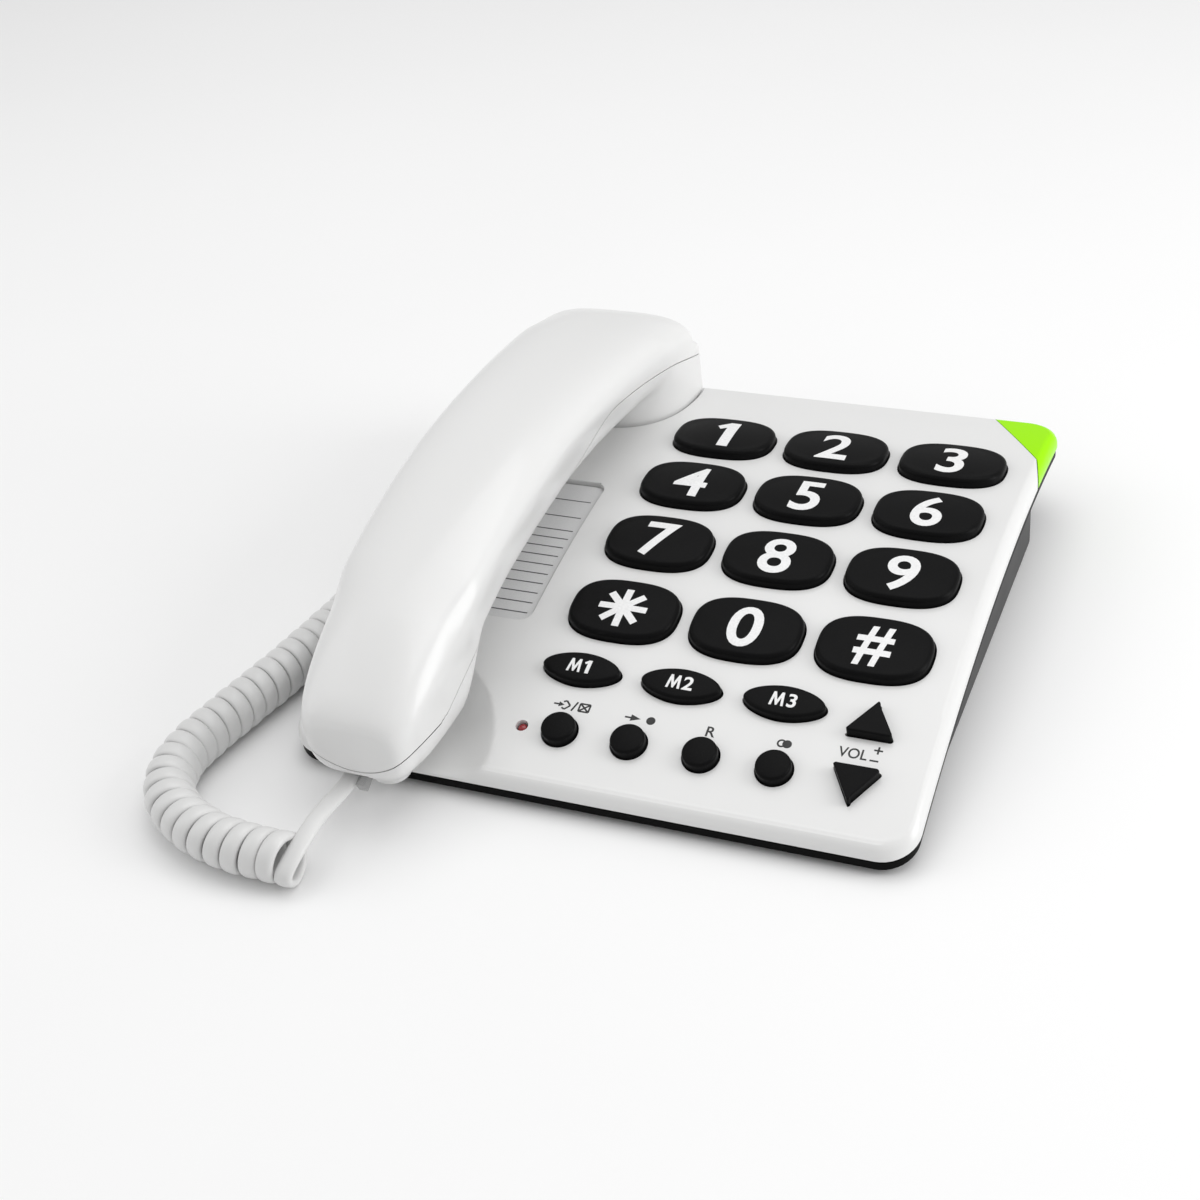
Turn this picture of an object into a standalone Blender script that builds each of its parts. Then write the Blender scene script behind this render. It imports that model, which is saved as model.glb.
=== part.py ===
"""Corded desk telephone with big keys, as separate solids in one frame.

Lengths are written in millimetres and scaled once, to Blender's metres, where a mesh is made.
The design frame has X to the user's right, Y away from the user and Z up from the desk, with
X = Y = 0 under the middle of the dial keys. The empty "keypad_datum" carries every solid and
sets that frame so that the world origin is the bottom centre of the whole object's box.
"""

import math

import bmesh
import bpy
from mathutils import Matrix, Vector

MM = 0.001
GAP = 0.3

# Whole object
DATUM = (44.8, 34.5, 0.0)

# Top panel: part of a cylinder whose axis runs along X
ARC_RADIUS = 376.9
ARC_Y = 26.3
ARC_Z = -344.5
WALL = 2.2

# Base outline in plan, measured at the seam between the casings
BASE_LEFT, BASE_RIGHT = -119.8, 62.9
BASE_FRONT, BASE_REAR = -104.6, 87.0
BASE_CORNER = 10.0
RIDGE_INSET = 3.4
LIP_DROP = 5.4
RIM_HEIGHT = 3.0
BODY_INSET = 3.3
BODY_REAR = 64.0
FLOOR_BOTTOM = 1.4
FLOOR_TOP = 3.6

# Keys: pitch across and along the panel, and plan sizes (half axes)
KEY_PITCH_X = 37.0
KEY_PITCH_S = 30.04
DIAL_HALF = (16.2, 11.2)
DIAL_POWER = 2.75
MEMORY_HALF = (11.6, 5.2)
MEMORY_X = (-41.4, -11.6, 18.2)
MEMORY_S = -68.6
FUNCTION_RADIUS = 4.9
FUNCTION_X = (-40.6, -20.1, 0.7, 21.3)
FUNCTION_S = -89.5
VOLUME_HALF = 6.2
VOLUME_CORNER = 0.8
VOLUME_PLACES = {"volume_up_key": (43.2, -69.4, 1), "volume_down_key": (42.9, -90.6, -1)}
KEY_HEIGHT = 2.9
SMALL_KEY_HEIGHT = 2.6
KEY_TRAVEL = 1.5
WELL_GAP = 0.5
LED_PLACE = (-52.0, -89.8)

# Key mat and circuit board: flat, on one sloping plane under the keys
BOARD_FRONT, BOARD_REAR = -93.0, 56.5
BOARD_FRONT_Z, BOARD_REAR_Z = 5.7, 23.8
BOARD_LEFT, BOARD_RIGHT = -54.0, 54.8
BOARD_THICK = 1.3
MAT_THICK = 1.2

# Index card window
WINDOW_X = (-106.0, -64.1)
WINDOW_Y = (-53.2, 11.4)
WINDOW_CORNER = 4.0

# Corner cap
CAP_PLAN = [(36.5, 92.0), (60.2, 57.4), (63.2, 45.8), (85.0, 45.8), (85.0, 105.0), (27.0, 105.0)]
CAP_GAP = 0.2

# Handset, in its own frame: X across, Y along towards the earpiece, Z away from the cradle
HANDSET_ORIGIN = (-85.0, -18.6, 19.3)
HANDSET_PITCH = math.radians(4.5)
HANDSET_HALF = 104.5
CROWN_MIDDLE = 49.3
CROWN_REAR, CROWN_REAR_POWER = 30.0, 1.69
CROWN_FRONT, CROWN_FRONT_POWER = 28.8, 2.29
GRIP_HALF_WIDTH = 24.0
EAR_HALF_WIDTH = 29.4
MOUTH_HALF_WIDTH = 20.0
GRIP_THICKNESS = 24.5
SIDE_TAPER_REAR, SIDE_TAPER_FRONT = 0.21, 0.12
SECTION_POWER = 3.2
PLAN_POWER_REAR, PLAN_POWER_FRONT = 14.0, 7.4
END_POWER_REAR, END_POWER_FRONT = 12.0, 6.1
CUP_START_REAR, CUP_START_FRONT = 0.80, 0.62
CUP_BLEND = 0.16
SEAM_DEPTH, SEAM_DEPTH_GAIN = 10.0, 6.0
SEAM_GRIP_DROP, SEAM_GRIP_START = 8.5, 40.0
SEAM_NOSE_HEIGHT, SEAM_NOSE_SLOPE, SEAM_NOSE_CURVE = 7.5, -0.2, 0.0285
SEAM_NOSE_WIDE = 22.0
SHELL = 2.2
EAR_CUP = {
    "centre": (0.0, 96.0),
    "half": (26.9, 30.8),
    "power": 2.6,
    "bottom": 0.0,
    "top": 19.0,
    "rear": 103.6,
}
MOUTH_POD = {
    "centre": (0.0, -88.0),
    "half": (9.5, 9.5),
    "power": 2.6,
    "bottom": -2.8,
    "top": 18.0,
    "rear": 0.0,
}
REST_RADIUS, REST_Y = 5.5, -88.0

# Cradle dishes, in the handset's frame: plan centre, half axes, power, floor, slope of the wall, left limit
EAR_DISH = {
    "centre": (0.0, 96.0),
    "half": (27.7, 31.7),
    "power": 2.6,
    "floor": -GAP,
    "flare": 0.02,
    "left": -30.0,
}
MOUTH_DISH = {
    "centre": (-1.0, -93.7),
    "half": (34.0, 38.0),
    "power": 1.8,
    "floor": -6.3,
    "flare": 0.5,
    "left": -31.0,
}
DISH_TOP = 30.0
DISH_WALL = 1.6

# Handset cord: middle line of the coil on the desk
COIL_RADIUS = 7.3
LEAD_RADIUS = 1.7
COIL_PATH = [
    (-131.5, -18.0),
    (-132.0, -32.0),
    (-133.1, -46.0),
    (-135.4, -61.5),
    (-137.8, -76.0),
    (-140.6, -89.0),
    (-143.3, -102.0),
    (-145.2, -113.0),
    (-145.2, -122.0),
    (-142.4, -131.0),
    (-136.6, -138.0),
    (-128.5, -143.2),
    (-118.6, -146.8),
    (-108.8, -148.3),
    (-99.6, -148.6),
    (-90.5, -148.8),
]
PLUG_SIZE = (7.7, 12.0, 6.6)
PLUG_CENTRE = (-88.8, -113.0, 17.2)
PLUG_TILT = math.radians(25.0)
BASE_PLUG_CENTRE = (BASE_LEFT + 6.3, 6.0, 9.6)

FOOT_RADIUS = 6.0
FOOT_PLACES = {
    "rubber_foot_front_left": (-106.0, -84.0),
    "rubber_foot_front_right": (49.0, -84.0),
    "rubber_foot_rear_left": (-106.0, 40.0),
    "rubber_foot_rear_right": (49.0, 40.0),
}
SCREW_PLACES = {
    "casing_screw_front_left": (-108.0, -62.0),
    "casing_screw_front_right": (49.5, -66.0),
    "casing_screw_rear_left": (-109.0, 26.0),
    "casing_screw_rear_right": (49.5, 54.0),
}
HANDSET_SCREW_PLACES = {"handset_screw_upper": 46.0, "handset_screw_lower": -40.0}

COLOURS = {
    "white": ((0.80, 0.80, 0.78), 0.25, 0.0),
    "black_casing": ((0.022, 0.022, 0.024), 0.38, 0.0),
    "black_key": ((0.012, 0.012, 0.013), 0.32, 0.0),
    "green": ((0.26, 0.78, 0.01), 0.15, 0.0),
    "clear": ((0.75, 0.77, 0.78), 0.1, 0.0),
    "paper": ((0.62, 0.62, 0.64), 0.9, 0.0),
    "red": ((0.35, 0.02, 0.03), 0.2, 0.0),
    "rubber": ((0.02, 0.02, 0.02), 0.9, 0.0),
    "silicone": ((0.45, 0.45, 0.47), 0.7, 0.0),
    "board": ((0.02, 0.19, 0.07), 0.5, 0.0),
    "steel": ((0.55, 0.55, 0.57), 0.35, 1.0),
    "dark": ((0.03, 0.03, 0.035), 0.5, 0.0),
}


# ---------------------------------------------------------------- scene


def clear_scene():
    for obj in list(bpy.data.objects):
        bpy.data.objects.remove(obj, do_unlink=True)


def new_collection(name):
    collection = bpy.data.collections.new(name)
    bpy.context.scene.collection.children.link(collection)
    return collection


def new_material(name):
    colour, roughness, metallic = COLOURS[name]
    material = bpy.data.materials.new(name)
    material.use_nodes = True
    shader = material.node_tree.nodes["Principled BSDF"]
    shader.inputs["Base Color"].default_value = (*colour, 1.0)
    shader.inputs["Roughness"].default_value = roughness
    shader.inputs["Metallic"].default_value = metallic
    material.diffuse_color = (*colour, 1.0)
    return material


clear_scene()
PHONE = new_collection("corded_desk_phone")
CUTTERS = new_collection("cutters")
CUTTERS.hide_render = True
MATERIALS = {name: new_material(name) for name in COLOURS}
DATUM_EMPTY = bpy.data.objects.new("keypad_datum", None)
DATUM_EMPTY.location = Vector(DATUM) * MM
PHONE.objects.link(DATUM_EMPTY)


def place(obj, matrix):
    """Parents the object to the datum, at this place in the design frame (millimetres)."""
    obj.parent = DATUM_EMPTY
    scaled = matrix.copy()
    scaled.translation = matrix.translation * MM
    obj.matrix_local = scaled


def solid(name, mesh, material, matrix=Matrix.Identity(4)):
    mesh.materials.append(MATERIALS[material])
    mesh.shade_smooth()
    mesh.set_sharp_from_angle(angle=math.radians(35))
    obj = bpy.data.objects.new(name, mesh)
    PHONE.objects.link(obj)
    place(obj, matrix)
    return obj


def helper(name, mesh, matrix=Matrix.Identity(4)):
    """A cutter or other helper, left out of the finished object."""
    obj = bpy.data.objects.new(name, mesh)
    CUTTERS.objects.link(obj)
    obj.hide_render = True
    obj.display_type = "WIRE"
    place(obj, matrix)
    return obj


def mesh_from(bm, name):
    bmesh.ops.recalc_face_normals(bm, faces=bm.faces)
    bmesh.ops.scale(bm, vec=(MM, MM, MM), verts=bm.verts)
    mesh = bpy.data.meshes.new(name)
    bm.to_mesh(mesh)
    bm.free()
    return mesh


def combine(obj, operation, *others):
    for other in others:
        modifier = obj.modifiers.new(f"{operation.lower()} {other.name}", "BOOLEAN")
        modifier.operation = operation
        modifier.object = other
        modifier.solver = "EXACT"


def applied(obj):
    """Replaces the object's mesh by its evaluated one, so that a long chain is worked out once."""
    bpy.context.view_layer.update()
    graph = bpy.context.evaluated_depsgraph_get()
    mesh = bpy.data.meshes.new_from_object(obj.evaluated_get(graph))
    obj.modifiers.clear()
    obj.data = mesh
    return obj


# ---------------------------------------------------------------- basic shapes


def box_mesh(name, size, centre=(0, 0, 0)):
    bm = bmesh.new()
    bmesh.ops.create_cube(bm, size=1.0)
    bmesh.ops.scale(bm, vec=size, verts=bm.verts)
    bmesh.ops.translate(bm, vec=centre, verts=bm.verts)
    return mesh_from(bm, name)


def cone_mesh(name, low_radius, high_radius, low_z, high_z, segments=12):
    bm = bmesh.new()
    bmesh.ops.create_cone(
        bm,
        cap_ends=True,
        segments=segments,
        radius1=low_radius,
        radius2=high_radius,
        depth=high_z - low_z,
    )
    bmesh.ops.translate(bm, vec=(0, 0, (low_z + high_z) / 2), verts=bm.verts)
    return mesh_from(bm, name)


def turned(name, profile, steps, material, matrix):
    """A turned solid: the profile (radius, z) runs down its outer side and is spun by a Screw."""
    mesh = bpy.data.meshes.new(name)
    points = [(radius * MM, 0.0, z * MM) for radius, z in profile]
    mesh.from_pydata(points, [(i, i + 1) for i in range(len(points) - 1)], [])
    obj = bpy.data.objects.new(name, mesh)
    obj.data.materials.append(MATERIALS[material])
    PHONE.objects.link(obj)
    place(obj, matrix)
    screw = obj.modifiers.new("spin", "SCREW")
    screw.steps = steps
    screw.render_steps = steps
    screw.use_merge_vertices = True
    screw.merge_threshold = 0.00001
    screw.use_smooth_shade = True
    return obj


def oval(half_x, half_y, power, count):
    """Points of a superellipse, anticlockwise, with no point on either axis."""
    points = []
    for i in range(count):
        angle = 2 * math.pi * (i + 0.5) / count
        c, s = math.cos(angle), math.sin(angle)
        x = half_x * math.copysign(abs(c) ** (2 / power), c)
        y = half_y * math.copysign(abs(s) ** (2 / power), s)
        points.append((x, y))
    return points


def rounded_triangle(half, radius, tip):
    """An isosceles triangle with rounded corners; tip is 1 for a tip towards +Y and -1 for -Y."""
    corners = [(-half, -half), (half, -half), (0.0, half)]
    inner = 1 - radius / half
    points = []
    for index, start in enumerate((180, 270, 0)):
        cx, cy = corners[index][0] * inner, corners[index][1] * inner * 0.86
        for step in (20, 60, 100):
            angle = math.radians(start + step - (30 if index == 2 else 0))
            points.append((cx + radius * math.cos(angle), cy + radius * math.sin(angle)))
    if tip < 0:
        points = [(x, -y) for x, y in reversed(points)]
    return points


def loft(name, rings):
    """A closed solid through rings with the same number of points, capped flat at both ends."""
    bm = bmesh.new()
    rows = [[bm.verts.new(point) for point in ring] for ring in rings]
    count = len(rows[0])
    for low, high in zip(rows, rows[1:]):
        for i in range(count):
            j = (i + 1) % count
            bm.faces.new((low[i], low[j], high[j], high[i]))
    bm.faces.new(list(reversed(rows[0])))
    bm.faces.new(rows[-1])
    return mesh_from(bm, name)


def triangulated(mesh):
    """The same mesh in triangles, so two copies at different heights stay parallel."""
    bm = bmesh.new()
    bm.from_mesh(mesh)
    bmesh.ops.triangulate(bm, faces=bm.faces, quad_method="FIXED")
    bm.to_mesh(mesh)
    bm.free()
    return mesh


def prism(name, outline, low, high):
    return loft(name, [[(x, y, low) for x, y in outline], [(x, y, high) for x, y in outline]])


def ladder(name, sections, middle):
    """A closed solid through sections that mirror about X = middle.

    Each section lists (half width, y, z) from front to rear. The end sections are closed by strips
    that run straight across, so they follow a surface that curves along Y only.
    """
    bm = bmesh.new()
    rows = []
    for section in sections:
        right = [bm.verts.new((middle + half, y, z)) for half, y, z in section]
        left = [bm.verts.new((middle - half, y, z)) for half, y, z in section]
        rows.append((right, left))
    for (low_right, low_left), (high_right, high_left) in zip(rows, rows[1:]):
        low = low_right + low_left[::-1]
        high = high_right + high_left[::-1]
        for i in range(len(low)):
            j = (i + 1) % len(low)
            bm.faces.new((low[i], low[j], high[j], high[i]))
    for right, left in (rows[0], rows[-1]):
        for i in range(len(right) - 1):
            bm.faces.new((right[i], right[i + 1], left[i + 1], left[i]))
    return mesh_from(bm, name)


# ---------------------------------------------------------------- panel geometry


def arc_z(y):
    return ARC_Z + math.sqrt(ARC_RADIUS**2 - (y - ARC_Y) ** 2)


def panel_angle(along):
    """Tilt of the panel at an arc length from the keypad's middle, in radians."""
    return -math.asin(ARC_Y / ARC_RADIUS) + along / ARC_RADIUS


def panel_matrix(x, along):
    """Frame on the panel: local Z is its outward normal, and local Y runs up the panel."""
    angle = panel_angle(along)
    y = ARC_Y + ARC_RADIUS * math.sin(angle)
    z = ARC_Z + ARC_RADIUS * math.cos(angle)
    return Matrix.Translation((x, y, z)) @ Matrix.Rotation(-angle, 4, "X")


def board_z(y):
    """Height of the board's upper face."""
    share = (y - BOARD_FRONT) / (BOARD_REAR - BOARD_FRONT)
    return BOARD_FRONT_Z + share * (BOARD_REAR_Z - BOARD_FRONT_Z)


BOARD_SLOPE = math.atan((BOARD_REAR_Z - BOARD_FRONT_Z) / (BOARD_REAR - BOARD_FRONT))


def half_outline(left, right, front, rear, corner, side_steps=9, corner_steps=3):
    """(half width, y) from front to rear along one side of a rounded rectangle."""
    half = (right - left) / 2
    points = []
    for i in range(corner_steps + 1):
        angle = math.pi / 2 * i / corner_steps
        points.append((half - corner + corner * math.sin(angle), front + corner - corner * math.cos(angle)))
    for i in range(1, side_steps):
        y = front + corner + (rear - front - 2 * corner) * i / side_steps
        points.append((half, y))
    for i in range(corner_steps + 1):
        angle = math.pi / 2 * i / corner_steps
        points.append((half - corner + corner * math.cos(angle), rear - corner + corner * math.sin(angle)))
    return points


def base_outline(inset):
    return half_outline(
        BASE_LEFT + inset,
        BASE_RIGHT - inset,
        BASE_FRONT + inset,
        BASE_REAR - inset,
        BASE_CORNER - inset * 0.7,
    )


def body_outline(inset):
    return half_outline(
        BASE_LEFT + BODY_INSET + inset,
        BASE_RIGHT - BODY_INSET - inset,
        BASE_FRONT + BODY_INSET + inset,
        BODY_REAR - inset,
        BASE_CORNER - inset * 0.7,
    )


BASE_MIDDLE = (BASE_LEFT + BASE_RIGHT) / 2
RIDGE = base_outline(RIDGE_INSET)


def base_section(inset, drop):
    """A section of the base's edge, this far below the panel's ridge all round."""
    return [(half, y, arc_z(ridge[1]) - drop) for (half, y), ridge in zip(base_outline(inset), RIDGE)]


def panel_section(inset, drop):
    return [(half, y, arc_z(y) - drop) for half, y in base_outline(inset)]


# ---------------------------------------------------------------- handset geometry


def handset_matrix():
    return Matrix.Translation(HANDSET_ORIGIN) @ Matrix.Rotation(HANDSET_PITCH, 4, "X")


def crown(share):
    """Height of the handset's back above the cradle plane, share being -1 to 1 along it."""
    end, power = (CROWN_REAR, CROWN_REAR_POWER) if share > 0 else (CROWN_FRONT, CROWN_FRONT_POWER)
    return end + (CROWN_MIDDLE - end) * (1 - abs(share) ** power)


def smooth_step(value):
    value = min(max(value, 0.0), 1.0)
    return value * value * (3 - 2 * value)


def handset_ring(share, inset, count):
    """One cross-section of the handset, made smaller by inset on every side."""
    top = crown(share)
    start = CUP_START_REAR if share > 0 else CUP_START_FRONT
    cup = smooth_step((abs(share) - start + CUP_BLEND / 2) / CUP_BLEND)
    bottom = (top - GRIP_THICKNESS) * (1 - cup)
    plan_power, end_power, end_half = PLAN_POWER_FRONT, END_POWER_FRONT, MOUTH_HALF_WIDTH
    if share > 0:
        plan_power, end_power, end_half = PLAN_POWER_REAR, END_POWER_REAR, EAR_HALF_WIDTH
    full = GRIP_HALF_WIDTH + (end_half - GRIP_HALF_WIDTH) * abs(share) ** 1.5
    width = full * (1 - abs(share) ** plan_power) ** (1 / plan_power) - inset
    height = (top - bottom) / 2 * (1 - abs(share) ** end_power) ** (1 / end_power) - inset
    front = smooth_step((-share - 0.35) / 0.25)
    taper = SIDE_TAPER_REAR + (SIDE_TAPER_FRONT - SIDE_TAPER_REAR) * front
    points = []
    for x, z in oval(width, height, SECTION_POWER, count):
        level = (top + bottom) / 2 + z
        narrowing = 1 - taper * min(max((top - level) / 40.0, 0.0), 1.0)
        points.append((x * narrowing, share * (HANDSET_HALF - inset), level))
    return points


def handset_body_mesh(name, inset, stations=19, count=16):
    rings = []
    for i in range(stations):
        share = math.sin((-1 + 2 * i / (stations - 1)) * math.pi / 2)
        rings.append(handset_ring(share * 0.995, inset, count))
    return loft(name, rings)


def cup_mesh(name, cup, inset, count=20):
    """A cup under the handset, with a chamfered lower edge."""
    half_x, half_y = cup["half"][0] - inset, cup["half"][1] - inset
    cx, cy = cup["centre"]
    rings = []
    for shrink, z in ((1.6, cup["bottom"] + inset), (0.0, cup["bottom"] + inset + 1.6), (0.0, cup["top"])):
        outline = oval(half_x - shrink, half_y - shrink, cup["power"], count)
        rear = cup["rear"] - inset - shrink
        rings.append([(cx + x, min(cy + y, rear), z) for x, y in outline])
    return loft(name, rings)


def seam_height(along, across=0.0):
    """Height of the joint between the handset's shells, in the handset's frame."""
    share = min(max(along / HANDSET_HALF, -1.0), 1.0)
    depth = SEAM_DEPTH + SEAM_DEPTH_GAIN * share**2
    depth += SEAM_GRIP_DROP * smooth_step((SEAM_GRIP_START - along) / SEAM_GRIP_START)
    nose = SEAM_NOSE_HEIGHT + SEAM_NOSE_SLOPE * (along + HANDSET_HALF)
    nose += SEAM_NOSE_CURVE * min(abs(across), SEAM_NOSE_WIDE) ** 2
    if along > -HANDSET_HALF / 2:
        return crown(share) - depth
    return max(crown(share) - depth, nose)


def below_seam_mesh(name, offset, stations=25):
    """The space below the handset's seam, as a block whose top follows it."""
    reach = HANDSET_HALF + 8
    across = (40, 22, 18, 14, 9, 4, -4, -9, -14, -18, -22, -40)
    rings = []
    for i in range(stations):
        along = reach * math.sin((-1 + 2 * i / (stations - 1)) * math.pi / 2)
        top = [(x, along, seam_height(along, x) + offset) for x in across]
        rings.append([(-40, along, -20), (40, along, -20), *top])
    return triangulated(loft(name, rings))


# ---------------------------------------------------------------- keys


def key_rings(outline, height, crown_rise, edge, stem_radius, stem_bottom):
    """Rings of a key cap with a bevelled, slightly raised top and a stem below it."""
    reach = max(math.hypot(x, y) for x, y in outline)

    def ring(shrink, z):
        return [(x * (1 - shrink / reach), y * (1 - shrink / reach), z) for x, y in outline]

    stem = []
    for x, y in outline:
        angle = math.atan2(y, x)
        stem.append((stem_radius * math.cos(angle), stem_radius * math.sin(angle)))
    return [
        [(x, y, stem_bottom) for x, y in stem],
        [(x, y, -WALL - 1.4) for x, y in stem],
        ring(0.0, -WALL - 0.6),
        ring(0.0, height - edge),
        ring(edge * 1.6, height),
        ring(reach * 0.55, height + crown_rise),
    ]


def stem_bottom(matrix):
    """Local height at which a key's stem ends: its travel and a small gap above the mat."""
    point = matrix.translation
    normal = matrix.col[2]
    slope = math.tan(BOARD_SLOPE)
    top = board_z(point.y) + MAT_THICK
    depth = (point.z - top) / (normal.z - slope * normal.y)
    return -(depth - KEY_TRAVEL - 0.9)


def add_key(name, outline, x, along, height, crown_rise, edge=0.9, stem_radius=3.0):
    matrix = panel_matrix(x, along)
    rings = key_rings(outline, height, crown_rise, edge, stem_radius, stem_bottom(matrix))
    solid(name, loft(name, rings), "black_key", matrix)
    grown = []
    for px, py in outline:
        length = math.hypot(px, py)
        grown.append((px * (1 + WELL_GAP / length), py * (1 + WELL_GAP / length)))
    return helper(f"{name}_well", prism(f"{name}_well", grown, -WALL - 3, 3.0), matrix)


def add_keys():
    """Makes every key and returns the cutters for their wells."""
    wells = []
    names = ["1", "2", "3", "4", "5", "6", "7", "8", "9", "star", "0", "hash"]
    for index, label in enumerate(names):
        row, column = divmod(index, 3)
        x = (column - 1) * KEY_PITCH_X
        along = (1.5 - row) * KEY_PITCH_S
        wells.append(add_key(f"key_{label}", oval(*DIAL_HALF, DIAL_POWER, 16), x, along, KEY_HEIGHT, 0.5))
    for index, x in enumerate(MEMORY_X):
        outline = oval(*MEMORY_HALF, 1.85, 12)
        name = f"memory_key_{index + 1}"
        wells.append(add_key(name, outline, x, MEMORY_S, SMALL_KEY_HEIGHT, 0.3, 0.6, 2.2))
    for label, x in zip(("store", "redial", "recall", "mute"), FUNCTION_X):
        outline = oval(FUNCTION_RADIUS, FUNCTION_RADIUS, 2.0, 12)
        name = f"function_key_{label}"
        wells.append(add_key(name, outline, x, FUNCTION_S, SMALL_KEY_HEIGHT + 0.4, 0.2, 0.6, 2.0))
    for name, (x, along, tip) in VOLUME_PLACES.items():
        outline = rounded_triangle(VOLUME_HALF, VOLUME_CORNER, tip)
        wells.append(add_key(name, outline, x, along, SMALL_KEY_HEIGHT, 0.2, 0.6, 2.0))
    return wells


# ---------------------------------------------------------------- base


def dish_mesh(name, dish, grow, top, count=24):
    """The hollow of a cradle dish, in the handset's frame, made larger by grow all round."""
    cx, cy = dish["centre"]
    low = dish["floor"] - grow
    rings = []
    for z, shrink in ((low, 2.0), (low + 2.0, 0.0), (top, -dish["flare"] * (top - low - 2.0))):
        half_x = dish["half"][0] + grow - shrink
        half_y = dish["half"][1] + grow - shrink
        left = dish["left"] - grow
        outline = oval(half_x, half_y, dish["power"], count)
        rings.append([(max(cx + x, left), cy + y, z) for x, y in outline])
    return loft(name, rings)


def panel_prism_mesh(name, x_range, y_range, corner, drops, side_steps=6):
    """A plate or pocket that follows the panel, between two depths below its surface."""
    outline = half_outline(*x_range, *y_range, corner, side_steps, 3)
    sections = [[(half, y, arc_z(y) - drop) for half, y in outline] for drop in drops]
    return ladder(name, sections, (x_range[0] + x_range[1]) / 2)


def upper_casing_sections():
    return [
        panel_section(RIDGE_INSET + 2.4, WALL),
        base_section(WALL + 0.6, WALL + 1.2),
        base_section(WALL, LIP_DROP),
        base_section(0.0, LIP_DROP),
        base_section(1.3, 1.3),
        panel_section(RIDGE_INSET, 0.0),
    ]


def screw_boss(name, x, y, low):
    """A tube that hangs from the panel down to the floor, for a casing screw."""
    top = arc_z(y) - WALL / 2
    matrix = Matrix.Translation((x, y, 0))
    boss = helper(f"{name}_boss", cone_mesh(f"{name}_boss", 3.6, 3.6, low, top, 10), matrix)
    bore = helper(f"{name}_bore", cone_mesh(f"{name}_bore", 1.75, 1.75, low - 1, low + 7.5, 8), matrix)
    return boss, bore


def add_upper_casing(wells):
    """The white upper casing, with key wells, cradle dishes, card pocket and screw bosses."""
    frame = handset_matrix()
    casing = solid("upper_casing", ladder("upper_casing", upper_casing_sections(), BASE_MIDDLE), "white")
    limit_sections = [
        base_section(BODY_INSET + WALL + 0.4, 30.0),
        base_section(BODY_INSET + WALL + 0.4, LIP_DROP),
        base_section(0.4, LIP_DROP),
        panel_section(RIDGE_INSET + 0.2, 0.5),
    ]
    limit = helper("bowl_limit", ladder("bowl_limit", limit_sections, BASE_MIDDLE))
    for name, dish in (("ear", EAR_DISH), ("mouth", MOUTH_DISH)):
        bowl = helper(f"{name}_bowl", dish_mesh(f"{name}_bowl", dish, DISH_WALL, DISH_TOP - 0.5), frame)
        combine(bowl, "INTERSECT", limit)
        combine(casing, "UNION", bowl)
    for name, dish in (("ear", EAR_DISH), ("mouth", MOUTH_DISH)):
        hollow = helper(f"{name}_dish", dish_mesh(f"{name}_dish", dish, 0.0, DISH_TOP), frame)
        combine(casing, "DIFFERENCE", hollow)
    rest_foot = MOUTH_DISH["floor"] - DISH_WALL / 2
    rest = cone_mesh("mouth_rest", REST_RADIUS, REST_RADIUS, rest_foot, MOUTH_POD["bottom"] - GAP)
    combine(casing, "UNION", helper("mouth_rest", rest, frame @ Matrix.Translation((0, REST_Y, 0))))
    bores = []
    for name, (x, y) in SCREW_PLACES.items():
        boss, bore = screw_boss(name, x, y, FLOOR_TOP + GAP)
        combine(casing, "UNION", boss)
        bores.append(bore)
    pocket_mesh = panel_prism_mesh("card_pocket", WINDOW_X, WINDOW_Y, WINDOW_CORNER, (1.6, -2.0))
    combine(casing, "DIFFERENCE", helper("card_pocket", pocket_mesh), *bores)
    led_hole = cone_mesh("led_hole", 1.8, 1.8, -6, 3, 10)
    combine(casing, "DIFFERENCE", helper("led_hole", led_hole, panel_matrix(*LED_PLACE)))
    plunger_hole = prism("plunger_hole", oval(7.3, 4.8, 3.0, 12), -8, 8)
    combine(casing, "DIFFERENCE", helper("plunger_hole", plunger_hole, hook_matrix()))
    corner = helper("corner_opening", prism("corner_opening", CAP_PLAN, 0, 60))
    combine(casing, "DIFFERENCE", corner, *wells)
    applied(casing)
    return casing


def add_corner_cap():
    """The green cap over the rear right corner, flush with the casing's surface."""
    cap = solid("corner_cap", ladder("corner_cap", upper_casing_sections(), BASE_MIDDLE), "green")
    shrunk = [(CAP_PLAN[0][0] + CAP_GAP * 1.4, CAP_PLAN[0][1])]
    shrunk.append((CAP_PLAN[1][0] + CAP_GAP * 1.3, CAP_PLAN[1][1] + CAP_GAP * 0.6))
    shrunk.append((CAP_PLAN[2][0] + CAP_GAP * 1.2, CAP_PLAN[2][1] + CAP_GAP))
    shrunk.append((CAP_PLAN[3][0], CAP_PLAN[3][1] + CAP_GAP))
    shrunk.extend(CAP_PLAN[4:])
    combine(cap, "INTERSECT", helper("cap_region", prism("cap_region", shrunk, 0, 60)))
    return applied(cap)


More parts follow.
